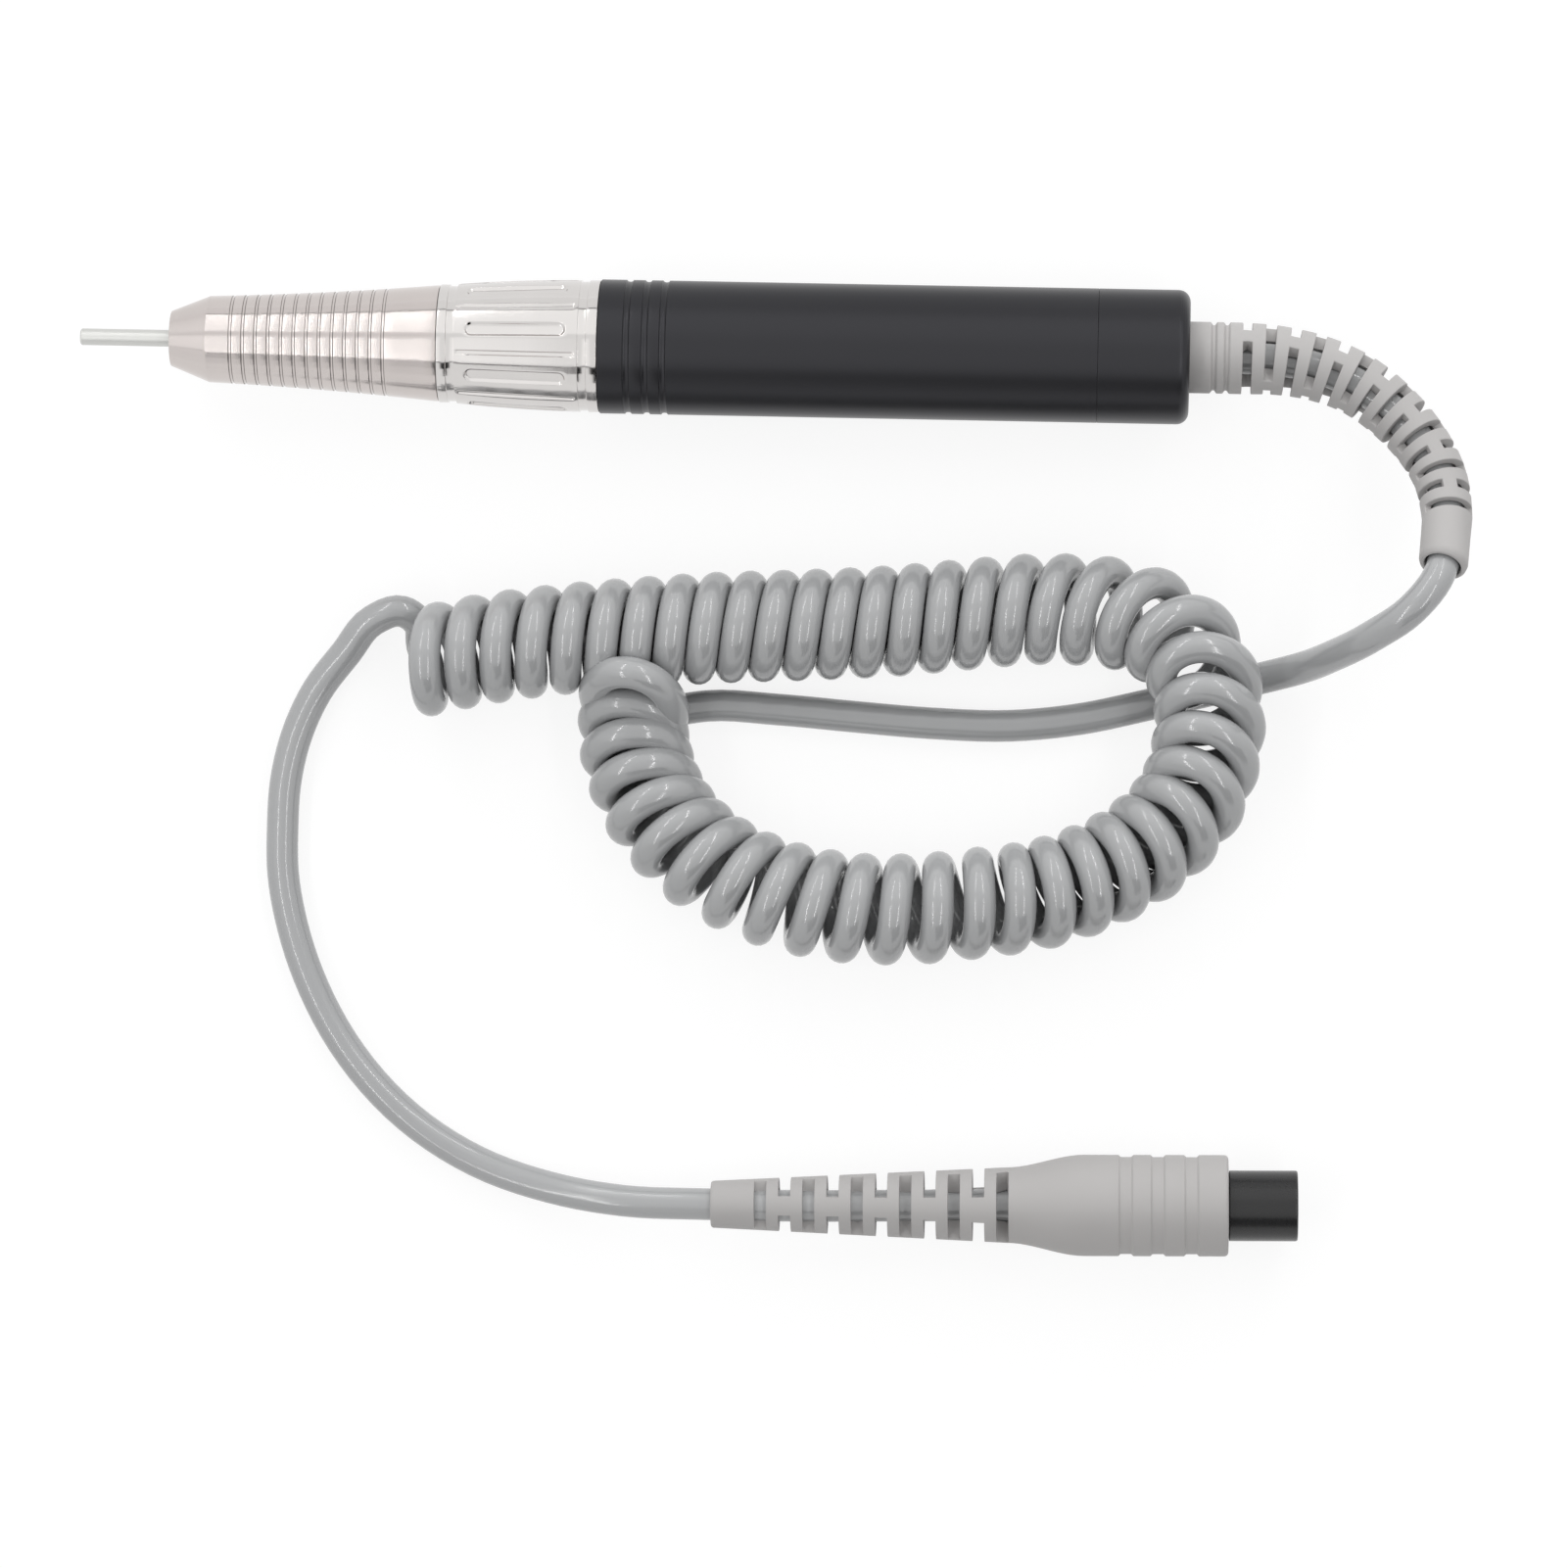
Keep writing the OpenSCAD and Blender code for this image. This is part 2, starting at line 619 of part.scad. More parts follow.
module spindle() {
    seat = run_gap / 2;
    cone_end = collet_s + collet_head_l;
    slope = (collet_head_r - collet_r) / collet_head_l;
    bore = collet_r + seat;
    front_bore = bore + slope * (cone_end - spindle_face_s);
    color("silver") difference() {
        turned([[spindle_face_s, front_bore], [spindle_face_s, spindle_flange_r - 0.1],
            [spindle_face_s + 0.1, spindle_flange_r], [front_brg_s, spindle_flange_r],
            [front_brg_s, spindle_r], [spindle_end_s, spindle_r], [spindle_end_s, bore],
            [cone_end, bore]]);
        // Slots for the cross pin's travel
        place() for (a = [0, 180]) rotate([0, 0, a])
            long_hole(pin_s - collet_travel, pin_s, pin_r + run_gap, spindle_r + 1);
    }
}
module drive_fork() {
    color("silver") difference() {
        tube(fork_s, spindle_end_s + fork_prong_l, fork_r, 0, 0.1);
        place() translate([-fork_slot_w / 2, -fork_r - 1, spindle_end_s + 0.5])
            cube([fork_slot_w, 2 * fork_r + 2, fork_prong_l + 1]);
        rod(fork_s - 1, spindle_end_s + 0.6, spindle_r + seat_gap / 2);
    }
}
module drive_dog() {
    s1 = dog_s + dog_tongue_l;
    color("silver") difference() {
        union() {
            tube(s1, s1 + dog_hub_l, fork_r - 0.1, 0, 0.1);
            intersection() {
                rod(dog_s, s1 + 1, fork_r - 0.1);
                place() translate([-fork_slot_w / 2 + 0.1, -fork_r, dog_s])
                    cube([fork_slot_w - 0.2, 2 * fork_r, dog_tongue_l + 1]);
            }
        }
        rod(s1, s1 + dog_hub_l + 1, shaft_r + seat_gap / 2);
    }
}

collet_bore_end = bit_in + 0.5;
collet_end_s = spindle_end_s - 2;
module collet() {
    color("silver") difference() {
        turned([[collet_s, bit_r + seat_gap], [collet_s, collet_head_r],
            [collet_s + collet_head_l, collet_r], [collet_end_s, collet_r], [collet_end_s, 0],
            [collet_bore_end, 0], [collet_bore_end, bit_r + seat_gap]]);
        place() for (i = [0:collet_slits - 1]) rotate([0, 0, i * 360 / collet_slits])
            translate([0, -0.2, collet_s - 1])
                cube([collet_head_r + 1, 0.4, collet_slit_l + 1]);
        place() translate([0, 0, pin_s]) rotate([0, 90, 0])
            cylinder(r = pin_r + seat_gap / 2, h = 2 * collar_r, center = true);
    }
}
module thrust_collar() {
    color("silver") difference() {
        tube(collar_s, collar_s + collar_w, collar_r, spindle_r + run_gap, 0.15);
        place() translate([0, 0, pin_s]) rotate([0, 90, 0])
            cylinder(r = pin_r + seat_gap / 2, h = 2 * collar_r + 2, center = true);
    }
}
module cross_pin() {
    color("silver") place() translate([0, 0, pin_s]) rotate([0, 90, 0])
        cylinder(r = pin_r, h = 2 * collar_r - 0.6, center = true);
}
module collet_spring() {
    h = spring_end_s - spring_s + 2 * spring_wire_r;
    color("silver") place() translate([0, 0, spring_s - spring_wire_r])
        coil_spring(spring_r, spring_wire_r, h, 4, 16, 8);
}

module bit_shank() {
    edge = 0.25;
    color("silver") turned([[-bit_out, 0], [-bit_out, bit_r - edge], [-bit_out + edge, bit_r],
        [bit_in - edge, bit_r], [bit_in, bit_r - edge], [bit_in, 0]]);
}

module rotor_shaft() {
    color("silver") rod(dog_s + dog_tongue_l, bell_s + bell_l - 0.3, shaft_r);
}
module armature_core() {
    color("#55524e") difference() {
        tube(stack_s, stack_s + stack_l, stack_r, shaft_r + seat_gap / 2);
        place() for (i = [0:stack_slots - 1]) rotate([0, 0, i * 360 / stack_slots]) {
            translate([stack_slot_at, -0.4, stack_s - 1]) cube([stack_r, 0.8, stack_l + 2]);
            translate([stack_slot_at, 0, stack_s - 1])
                cylinder(r = stack_slot_r, h = stack_l + 2);
        }
    }
}
module armature_windings() {
    // End turns at both ends of the stack, and the bundles in its slots
    over = 0.2;
    color("#b5651d") {
        for (s = [stack_s - winding_l, stack_s + stack_l])
            turned([[s, shaft_r + 0.3], [s, stack_r - 1.5], [s + 0.6, stack_r - 0.5],
                [s + winding_l - 0.6, stack_r - 0.5], [s + winding_l, stack_r - 1.5],
                [s + winding_l, shaft_r + 0.3]]);
        place() for (i = [0:stack_slots - 1]) rotate([0, 0, i * 360 / stack_slots])
            translate([stack_slot_at, 0, stack_s - over])
                cylinder(r = stack_slot_r - seat_gap, h = stack_l + 2 * over);
    }
}
module commutator() {
    color("peru") difference() {
        tube(comm_s, comm_s + comm_l, comm_r, shaft_r + seat_gap / 2);
        place() for (i = [0:stack_slots - 1]) rotate([0, 0, (i + 0.5) * 360 / stack_slots])
            translate([comm_r - 0.5, -0.12, comm_s - 1]) cube([2, 0.24, comm_l + 2]);
    }
}

// Sweeps. A path is a list of points, and each has a half width and a half
// height, square to the path's direction.
function unit(v) = v / norm(v);
function path_dir(p, i) =
    unit(p[min(i + 1, len(p) - 1)] - p[max(i - 1, 0)]);
function side_of(d) = unit([d[1], -d[0], 0]);
module swept(path, half, sides) {
    n = len(path);
    points = [for (i = [0:n - 1])
        let (d = path_dir(path, i), side = side_of(d), up = cross(side, d))
        for (k = [0:sides - 1]) let (a = k * 360 / sides)
            path[i] + half[i][0] * cos(a) * side + half[i][1] * sin(a) * up];
    walls = [for (i = [0:n - 2], k = [0:sides - 1])
        let (a = i * sides + k, b = i * sides + (k + 1) % sides)
        each [[a, a + sides, b], [b, a + sides, b + sides]]];
    caps = [[for (k = [0:sides - 1]) k],
        [for (k = [sides - 1:-1:0]) (n - 1) * sides + k]];
    polyhedron(points, concat(caps, walls), convexity = 6);
}
function round_half(path, r) = [for (p = path) [r, r]];

// Routes, as [behind the cap's face, across, up]. The relief's part rises
// with the handpiece's axis as its zero, and the rest is above the surface.
relief_route = [
    [-6, 0, 0], [0, 0, 0], [6.5, 0, 0], [12.5, -0.2, 0], [18, -1.2, 0], [23.4, -3.3, 0.1],
    [28.2, -6.8, 0.6], [32.2, -11.1, 1.9], [35, -16, 4.1], [36, -21, 7.1], [35.9, -26, 10.4]
];
lead_route = [
    [34.6, -30.7, 23], [31.3, -34.9, 23], [26.3, -38.5, 19.5], [21, -41.3, 12.5],
    [16.5, -43.1, 6], [11, -44.6, 2.8], [4, -46.4, 2.25], [-5, -48.7, 2.25],
    [-14, -50.8, 2.25], [-24, -52, 2.25], [-35, -51.9, 2.25], [-46, -51.2, 2.25],
    [-57, -50.4, 2.25], [-67, -50.1, 2.25], [-72.5, -50.1, 2.25]
];
// The curly part's middle line: along, across, how far the turns lean forward,
// and how far they are lifted
coil_route = [
    [-76.8, -48.4, -45, 0], [-76.8, -56, -38, 0], [-73.5, -64.5, -29, 0],
    [-67, -71.3, -20, 0], [-58, -75.8, -8, 0], [-48, -77.9, 0, 0], [-38, -78.1, 4, 0],
    [-28, -77, 9, 0], [-18.3, -75.3, 15, 0], [-8.8, -71.4, 22, 0.4], [-2.5, -66.7, 29, 1.6],
    [1.5, -61.5, 37, 3.2], [3.5, -55.2, 43, 4.4], [3.8, -49, 48, 4.8], [2.4, -43.5, 48, 4.7],
    [-0.8, -39.6, 38, 3.4], [-5.4, -37, 28, 1.9], [-11.5, -35.8, 17, 0.8], [-20, -35.6, 7, 0],
    [-29, -36.4, 0, 0], [-41, -37.7, 0, 0], [-53, -38.5, 0, 0], [-65, -39.1, 0, 0],
    [-77, -40.1, 1, 0], [-88, -41.3, 4, 0], [-98, -42.8, 8, 0], [-108, -45, 10, 0]
];
tail_route = [
    [-107.8, -39.2, 4.4], [-110.5, -37.8, 5], [-114, -39.4, 4.6], [-118.5, -43.8, 3.5],
    [-122.2, -49, 2.6], [-125, -55.2, 2.25], [-126.5, -62, 2.25], [-126.8, -68.5, 2.25],
    [-126.6, -75, 2.25], [-125.1, -82.5, 2.25], [-121.9, -91.2, 2.25], [-116.3, -100.6, 2.25],
    [-108, -109.2, 2.25], [-98.2, -115.2, 2.4], [-87.5, -118.6, 3.6], [-77, -120.1, 5.6]
];
// Heights on the surface are those of a 4.5 mm cord, and follow the cord's size
route_cord_r = 2.25;
function on_surface(route) =
    [for (p = route) [rear_x + p[0], p[1], p[2] - route_cord_r + cord_r]];
relief_path = [for (p = relief_route) [rear_x + p[0], p[1], axis_z + p[2]]];
lead_path = concat(relief_path, on_surface(lead_route));
helix_r = (coil_d - cord_d) / 2;
coil_half = [for (p = coil_route) [coil_d / 2, helix_r * cos(p[2]) + cord_r]];
// The solid starts a little way into the first turn, clear of the turns above it
coil_start = 0.9;
coil_ahead = [for (j = [0:1]) coil_route[1][j] - coil_route[0][j]];
coil_path = [for (i = [0:len(coil_route) - 1])
    let (p = coil_route[i], in = (i == 0 ? coil_start : 0) * coil_ahead / norm(coil_ahead))
    [rear_x + p[0] + in[0], p[1] + in[1], p[3] + coil_half[i][1]]];
plug_back = 64.6;
plug_x = rear_x - plug_back;
plug_y = -120.2;
plug_turn = 1.2;
tail_end = [plug_x + (boot_l + 2) * cos(plug_turn), plug_y + (boot_l + 2) * sin(plug_turn),
    grip_r];
tail_path = concat(on_surface(tail_route), [[plug_x - 1, plug_y, grip_r], tail_end]);

// Stations along the relief, measured from the cap's rear face
relief_steps = 8;
relief_fine = [for (i = [1:len(relief_path) - 2], k = [0:relief_steps - 1])
    spline(relief_path[i - 1], relief_path[i], relief_path[i + 1],
        i + 2 < len(relief_path) ? relief_path[i + 2] : lead_path[len(relief_path)],
        k / relief_steps)];
function spline(a, b, c, d, t) = 0.5 * (2 * b + (c - a) * t
    + (2 * a - 5 * b + 4 * c - d) * t * t + (3 * b - a - 3 * c + d) * t * t * t);
relief_sums = [for (i = 0, u = 0; i < len(relief_fine); i = i + 1,
    u = u + (i < len(relief_fine) ? norm(relief_fine[i] - relief_fine[i - 1]) : 0)) u];
function relief_at(u) = [for (j = [0:2])
    lookup(u, [for (i = [0:len(relief_sums) - 1]) [relief_sums[i], relief_fine[i][j]]])];
module at_station(u) {
    d = unit(relief_at(u + 0.4) - relief_at(u - 0.4));
    translate(relief_at(u)) rotate([0, acos(d[2]), atan2(d[1], d[0])]) children();
}
relief_slot0 = 8;
relief_last = relief_slot0 + (relief_slots - 1) * relief_pitch + relief_slot_w / 2;
function relief_r_at(u) = relief_r + (relief_end_r - relief_r)
    * (u - relief_slot0) / (relief_last - relief_slot0);
// The pair of webs turns by a quarter from one slot to the next
function relief_web_at(k) = 38 - 25 * k / (relief_slots - 1) - (k % 2) * 90;

module strain_relief() {
    ring_w = relief_pitch - relief_slot_w;
    e = 0.2;
    color("#a9aaa8") {
        relief_root();
        for (k = [0:relief_slots - 1])
            at_station(relief_slot0 + k * relief_pitch)
                web_pair(relief_web_w, relief_r_at(relief_slot0 + k * relief_pitch) - web_step,
                    relief_slot_w + 0.8, relief_web_at(k));
        for (k = [1:relief_slots - 1]) {
            u = relief_slot0 + (k - 0.5) * relief_pitch;
            r = relief_r_at(u);
            at_station(u) rotate_extrude() polygon([[relief_bore_r, -ring_w / 2],
                [r - e, -ring_w / 2], [r, -ring_w / 2 + e], [r, ring_w / 2 - e],
                [r - e, ring_w / 2], [relief_bore_r, ring_w / 2]]);
        }
        l = relief_ferrule_l;
        r = relief_end_r;
        at_station(relief_last + l / 2) rotate_extrude() polygon([[relief_bore_r, -l / 2],
            [r - e, -l / 2], [r, -l / 2 + e], [r - 0.1, l / 2 - 0.7],
            [r - 0.3, l / 2 - 0.2], [r - 0.6, l / 2], [relief_bore_r, l / 2]]);
    }
}
// The flange in the rear cap, the smooth collar and its two grooves
module relief_root() {
    s = rear_s;
    f = s - cap_wall - 0.05;
    g = 0.45;
    r = relief_r;
    end = relief_slot0 - relief_slot_w / 2;
    turned([[f - relief_flange_l, relief_bore_r], [f - relief_flange_l, relief_flange_r],
        [f, relief_flange_r], [f, r], [s + 2.9, r], [s + 3.2, r - g], [s + 3.5, r - g],
        [s + 3.8, r], [s + 4.7, r], [s + 5, r - g], [s + 5.3, r - g], [s + 5.6, r],
        [s + end - 0.2, r], [s + end, r - 0.2], [s + end, relief_bore_r]]);
}
// Two opposite webs across a slot, sunk a little inside the rings' faces; turn
// is measured from the top, outwards
web_step = 0.1;
module web_pair(w, r, l, turn) {
    difference() {
        intersection() {
            cylinder(r = r, h = l, center = true);
            rotate([0, 0, 180 - turn]) cube([2 * r + 1, w, l + 1], center = true);
        }
        cylinder(r = relief_bore_r + web_step, h = l + 2, center = true);
    }
}

module cord_clamp() {
    color("silver") tube(clamp_s, clamp_s + clamp_l, cord_r + 1, cord_r + seat_gap, 0.2);
}
// The two wires from the brush terminals to the cord's end
module motor_lead(side) {
    s0 = bell_s + bell_l + terminal_l - 1.2;
    s1 = cord_s - 0.1;
    path = [for (t = [0:0.125:1]) let (e = t * t * (3 - 2 * t))
        [nose_x + s0 + (s1 - s0) * t,
            side * (terminal_r - 1 + (0.95 - terminal_r + 1) * e), axis_z]];
    swept(path, round_half(path, 0.6), 8);
}
module red_lead() { color("#b02020") motor_lead(1); }
module black_lead() { color("#202020") motor_lead(-1); }

module cord_lead() {
    start = [nose_x + cord_s, 0, axis_z];
    path = concat([start], [for (i = [1:len(lead_path) - 1]) lead_path[i]]);
    color("#9a9b9d") swept(path, round_half(path, cord_r), 10);
}
module curly_cord() {
    color("#9a9b9d") swept(coil_path, coil_half, 12);
}
module cord_tail() {
    color("#9a9b9d") swept(tail_path, round_half(tail_path, cord_r), 10);
}

// The plug lies on the same surface, and its own axis is local Z
module place_plug() {
    translate([plug_x, plug_y, grip_r]) rotate([0, 90, plug_turn]) children();
}
module plug_turned(points) {
    place_plug() rotate_extrude() polygon([for (p = points) [p[1], p[0]]]);
}
plug_end = boot_l + grip_l;
shell_s = plug_end - 6;
shell_end = plug_end + plug_nose_l;
shell_spigot_r = plug_nose_r - 0.4;
shell_bore_r = plug_nose_r - 1;
grip_shoulder_l = 10.8;
grip_bands = [15.6, 20.1, 24.8];
grip_band_w = 2.1;
grip_band_d = 0.3;
boot_bore_r = cord_r + 0.1;
boot_slot0 = 7;

module plug_cover() {
    r = grip_r;
    d = grip_band_d;
    blend = [for (t = [0:0.1:1]) let (e = t * t * (3 - 2 * t))
        [boot_l + grip_shoulder_l * t, boot_thick_r + (r - boot_thick_r) * e]];
    bands = [for (b = grip_bands) let (s = boot_l + b) each
        [[s, r], [s + 0.3, r - d], [s + grip_band_w - 0.3, r - d], [s + grip_band_w, r]]];
    corner = [for (a = [0:30:90]) [plug_end - 0.6 * (1 - sin(a)), r - 0.6 * (1 - cos(a))]];
    seat_r = shell_spigot_r + seat_gap;
    color("#a9aaa8") difference() {
        plug_turned(concat([[0, boot_bore_r], [0, boot_thin_r - 0.3], [0.3, boot_thin_r]],
            blend, bands, corner, [[plug_end, seat_r], [shell_s, seat_r], [shell_s, 1.6],
                [boot_l + 2.1, 1.6], [boot_l + 2.1, boot_bore_r]]));
        place_plug() for (k = [0:boot_slots - 1])
            translate([0, 0, boot_slot0 + k * boot_pitch]) difference() {
                cylinder(r = grip_r + 1, h = boot_slot_w, center = true);
                rotate([0, 0, (k % 2) * 90 + 90 + 6 * k / (boot_slots - 1)])
                    cube([3 * grip_r, boot_web_w, boot_slot_w + 1], center = true);
            }
    }
}
module plug_shell() {
    r = plug_nose_r;
    face = plug_end + 0.02;
    color("#1d1d1f") plug_turned([[shell_s + 0.05, shell_bore_r],
        [shell_s + 0.05, shell_spigot_r], [face, shell_spigot_r], [face, r],
        [shell_end - 0.5, r], [shell_end - 0.15, r - 0.15], [shell_end, r - 0.5],
        [shell_end, shell_bore_r]]);
}
contact_r = 0.75;
contact_at = 2.1;
module plug_insulator() {
    l = shell_end - 0.8 - shell_s - 0.1;
    color("#2a2a2c") place_plug() translate([0, 0, shell_s + 0.1]) difference() {
        cylinder(r = shell_bore_r - seat_gap, h = l);
        at_contacts() translate([0, 0, -1]) cylinder(r = contact_r + seat_gap, h = l + 2);
    }
}
module at_contacts() {
    for (i = [0:plug_contacts_n - 1]) rotate([0, 0, i * 360 / plug_contacts_n])
        translate([contact_at, 0, 0]) children();
}
module plug_contacts() {
    l = shell_end - 1.2 - shell_s - 0.1;
    bore_l = 7;
    color("goldenrod") place_plug() translate([0, 0, shell_s + 0.1]) at_contacts()
        difference() {
            cylinder(r = contact_r, h = l);
            translate([0, 0, l - bore_l]) cylinder(r = 0.5, h = bore_l + 1);
        }
}

nose_housing();
dust_seal();
spindle_bearing_outer_races();
spindle_bearing_balls();
bearing_spacer();
wave_washer();
bearing_nut();
core_sleeve();
motor_barrel();
rear_cap();
motor_can();
field_magnets();
motor_front_plate();
motor_end_bell();
motor_retainer();
end_bell_screws();
motor_bearing_outer_races();
motor_bearing_balls();
brush_holders();
carbon_brushes();
brush_springs();
brush_terminals();
red_lead();
black_lead();
cord_clamp();
strain_relief();
cord_lead();
curly_cord();
cord_tail();
plug_cover();
plug_shell();
plug_insulator();
plug_contacts();
lock_ring();
cam_sleeve();
cam_pins();
spindle();
spindle_bearing_inner_races();
drive_fork();
collet();
thrust_collar();
cross_pin();
collet_spring();
bit_shank();
rotor_shaft();
armature_core();
armature_windings();
commutator();
motor_bearing_inner_races();
drive_dog();
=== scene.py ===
"""The looks of an electric nail drill, laid out as an add-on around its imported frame."""

import json
import math

import bmesh
import bpy
from bpy.props import FloatProperty, FloatVectorProperty, PointerProperty
from mathutils import Matrix, Vector

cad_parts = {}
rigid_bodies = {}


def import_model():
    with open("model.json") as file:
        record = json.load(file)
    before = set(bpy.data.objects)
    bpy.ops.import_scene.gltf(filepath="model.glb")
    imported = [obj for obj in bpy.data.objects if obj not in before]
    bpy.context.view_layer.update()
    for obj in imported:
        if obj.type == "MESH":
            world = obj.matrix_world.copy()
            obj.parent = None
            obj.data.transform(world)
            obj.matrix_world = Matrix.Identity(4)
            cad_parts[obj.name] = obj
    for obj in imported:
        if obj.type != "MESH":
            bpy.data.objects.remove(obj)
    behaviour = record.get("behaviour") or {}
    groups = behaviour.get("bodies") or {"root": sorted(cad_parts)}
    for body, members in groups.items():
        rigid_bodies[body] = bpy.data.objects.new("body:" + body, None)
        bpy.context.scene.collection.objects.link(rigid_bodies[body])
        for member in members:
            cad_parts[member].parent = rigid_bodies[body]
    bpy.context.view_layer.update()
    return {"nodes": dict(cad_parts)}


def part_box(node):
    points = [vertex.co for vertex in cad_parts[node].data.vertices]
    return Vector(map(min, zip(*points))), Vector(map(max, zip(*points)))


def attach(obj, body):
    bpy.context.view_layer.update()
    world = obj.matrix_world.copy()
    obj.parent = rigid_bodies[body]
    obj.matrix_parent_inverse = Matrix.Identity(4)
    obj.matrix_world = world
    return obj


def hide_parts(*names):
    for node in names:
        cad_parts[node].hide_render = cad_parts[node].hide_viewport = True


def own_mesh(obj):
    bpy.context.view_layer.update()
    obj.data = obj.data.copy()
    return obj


bl_info = {
    "name": "Electric nail drill",
    "version": (1, 0, 0),
    "blender": (4, 5, 0),
    "location": "3D View > Sidebar > Nail drill",
    "description": "Builds the shells, boots, curly cord and finishes of a nail drill handpiece",
    "category": "Object",
}

MM = 0.001

for start_object in list(bpy.data.objects):
    bpy.data.objects.remove(start_object)
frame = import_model()

# Places that the frame gives, in metres
nose_low, nose_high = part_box("nose_housing")
barrel_low, barrel_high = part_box("motor_barrel")
cap_low, cap_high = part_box("rear_cap")
NOSE_X = nose_low.x
REAR_X = cap_high.x
AXIS_Z = (cap_low.z + cap_high.z) / 2


def behind_nose(x):
    """How far a place on the frame's X axis lies behind the nose's front face, in mm."""
    return (x - NOSE_X) / MM


# Lengths in mm behind the nose, and the barrel's radius in mm
NOSE_L = behind_nose(nose_high.x)
BARREL_S = behind_nose(barrel_low.x)
REAR_S = behind_nose(REAR_X)
BARREL_R = (cap_high.y - cap_low.y) / 2 / MM


# Colours


def linear(hex_colour):
    """An sRGB hex colour as the linear RGB that Blender's shaders take."""
    values = [int(hex_colour[i : i + 2], 16) / 255 for i in (0, 2, 4)]
    return [v / 12.92 if v <= 0.04045 else ((v + 0.055) / 1.055) ** 2.4 for v in values]


def colour_property(name, description, hex_colour):
    return FloatVectorProperty(
        name=name, description=description, subtype="COLOR", size=3, min=0, max=1,
        default=linear(hex_colour),
    )


def length_property(name, description, millimetres):
    return FloatProperty(
        name=name, description=description, subtype="DISTANCE", unit="LENGTH", min=0,
        precision=5, default=millimetres * MM,
    )


class NailDrillColours(bpy.types.PropertyGroup):
    """Colours of the outside"""

    cord: colour_property("Cord", "Colour of the glossy cord", "a6a7a8")
    boot: colour_property("Boots", "Colour of the moulded boots and plug grip", "b3b1b0")
    plug: colour_property("Plug nose", "Colour of the plug's black nose", "1a1a1b")
    barrel: colour_property("Barrel", "Colour of the anodised barrel", "121110")
    nose: colour_property("Nose", "Colour of the satin turned nose", "cbc4c1")
    ring: colour_property("Lock ring", "Colour of the bright turned lock ring", "d3d0ce")
    steel: colour_property("Steel", "Colour of ground steel", "d2d1cf")


class NailDrillSizes(bpy.types.PropertyGroup):
    """Sizes of the details that the frame leaves open"""

    edge: length_property("Edge", "Rounding of the metal shells' edges", 0.09)
    groove_depth: length_property("Nose groove", "Depth of the fine grooves on the nose", 0.12)
    pocket_wall: length_property("Pocket wall", "Width of the grip pockets' sloped wall", 0.3)
    boot_edge: length_property("Boot edge", "Rounding of the moulded boots' edges", 0.16)
    cord_diameter: length_property("Cord diameter", "Diameter of the cord", 4.5)
    cord_length: length_property("Cord length", "Length of the cord from cap to plug", 2040)
    coil_diameter: length_property("Coil diameter", "Outer diameter of the curly part", 15.8)
    coil_turns: FloatProperty(
        name="Coil turns", description="Number of turns in the curly part", min=1, default=46,
    )
    grit: length_property("Grit", "Grain of the blasted and moulded finishes", 0.12)


class NailDrillLight(bpy.types.PropertyGroup):
    """Light of the stage"""

    strip: FloatProperty(
        name="Strip lights", description="Radiance of the long strip lights", min=0, default=9,
    )
    panel: FloatProperty(
        name="Panels", description="Radiance of the broad panels overhead", min=0, default=0.16,
    )
    side: FloatProperty(
        name="Side light", description="Radiance of the low light behind", min=0, default=2.2,
    )
    fill: FloatProperty(
        name="Fill", description="Level of the light from all round", min=0, default=0.56,
    )
    backdrop: FloatProperty(
        name="Backdrop", description="Level of the white that surfaces reflect", min=0, default=1,
    )


def settings():
    return bpy.context.scene.nail_drill


class NailDrillSettings(bpy.types.PropertyGroup):
    """All settings of the nail drill"""

    colours: PointerProperty(type=NailDrillColours)
    sizes: PointerProperty(type=NailDrillSizes)
    light: PointerProperty(type=NailDrillLight)


# Materials


def add(tree, kind, inputs=None, **options):
    """Adds a node with its options, and sets or links its inputs."""
    node = tree.nodes.new(kind)
    for key, value in options.items():
        setattr(node, key, value)
    for socket, value in (inputs or {}).items():
        if isinstance(value, bpy.types.NodeSocket):
            tree.links.new(value, node.inputs[socket])
        else:
            node.inputs[socket].default_value = value
    return node


def new_material(name):
    material = bpy.data.materials.new(name)
    material.use_nodes = True
    material.node_tree.nodes.clear()
    return material, material.node_tree


def backdrop_rays(tree):
    """Marks the rays that show the white backdrop: from the camera, or off gloss or glass."""
    rays = add(tree, "ShaderNodeLightPath")
    seen = add(
        tree, "ShaderNodeMath",
        {0: rays.outputs["Is Camera Ray"], 1: rays.outputs["Is Glossy Ray"]},
        operation="MAXIMUM",
    )
    return add(
        tree, "ShaderNodeMath", {0: seen.outputs[0], 1: rays.outputs["Is Transmission Ray"]},
        operation="MAXIMUM",
    ).outputs[0]


def rgba(colour, factor=1.0):
    return [min(1.0, c * factor) for c in colour] + [1.0]


# A band wave of scale 1 repeats after this many metres
WAVE_PERIOD = 0.314


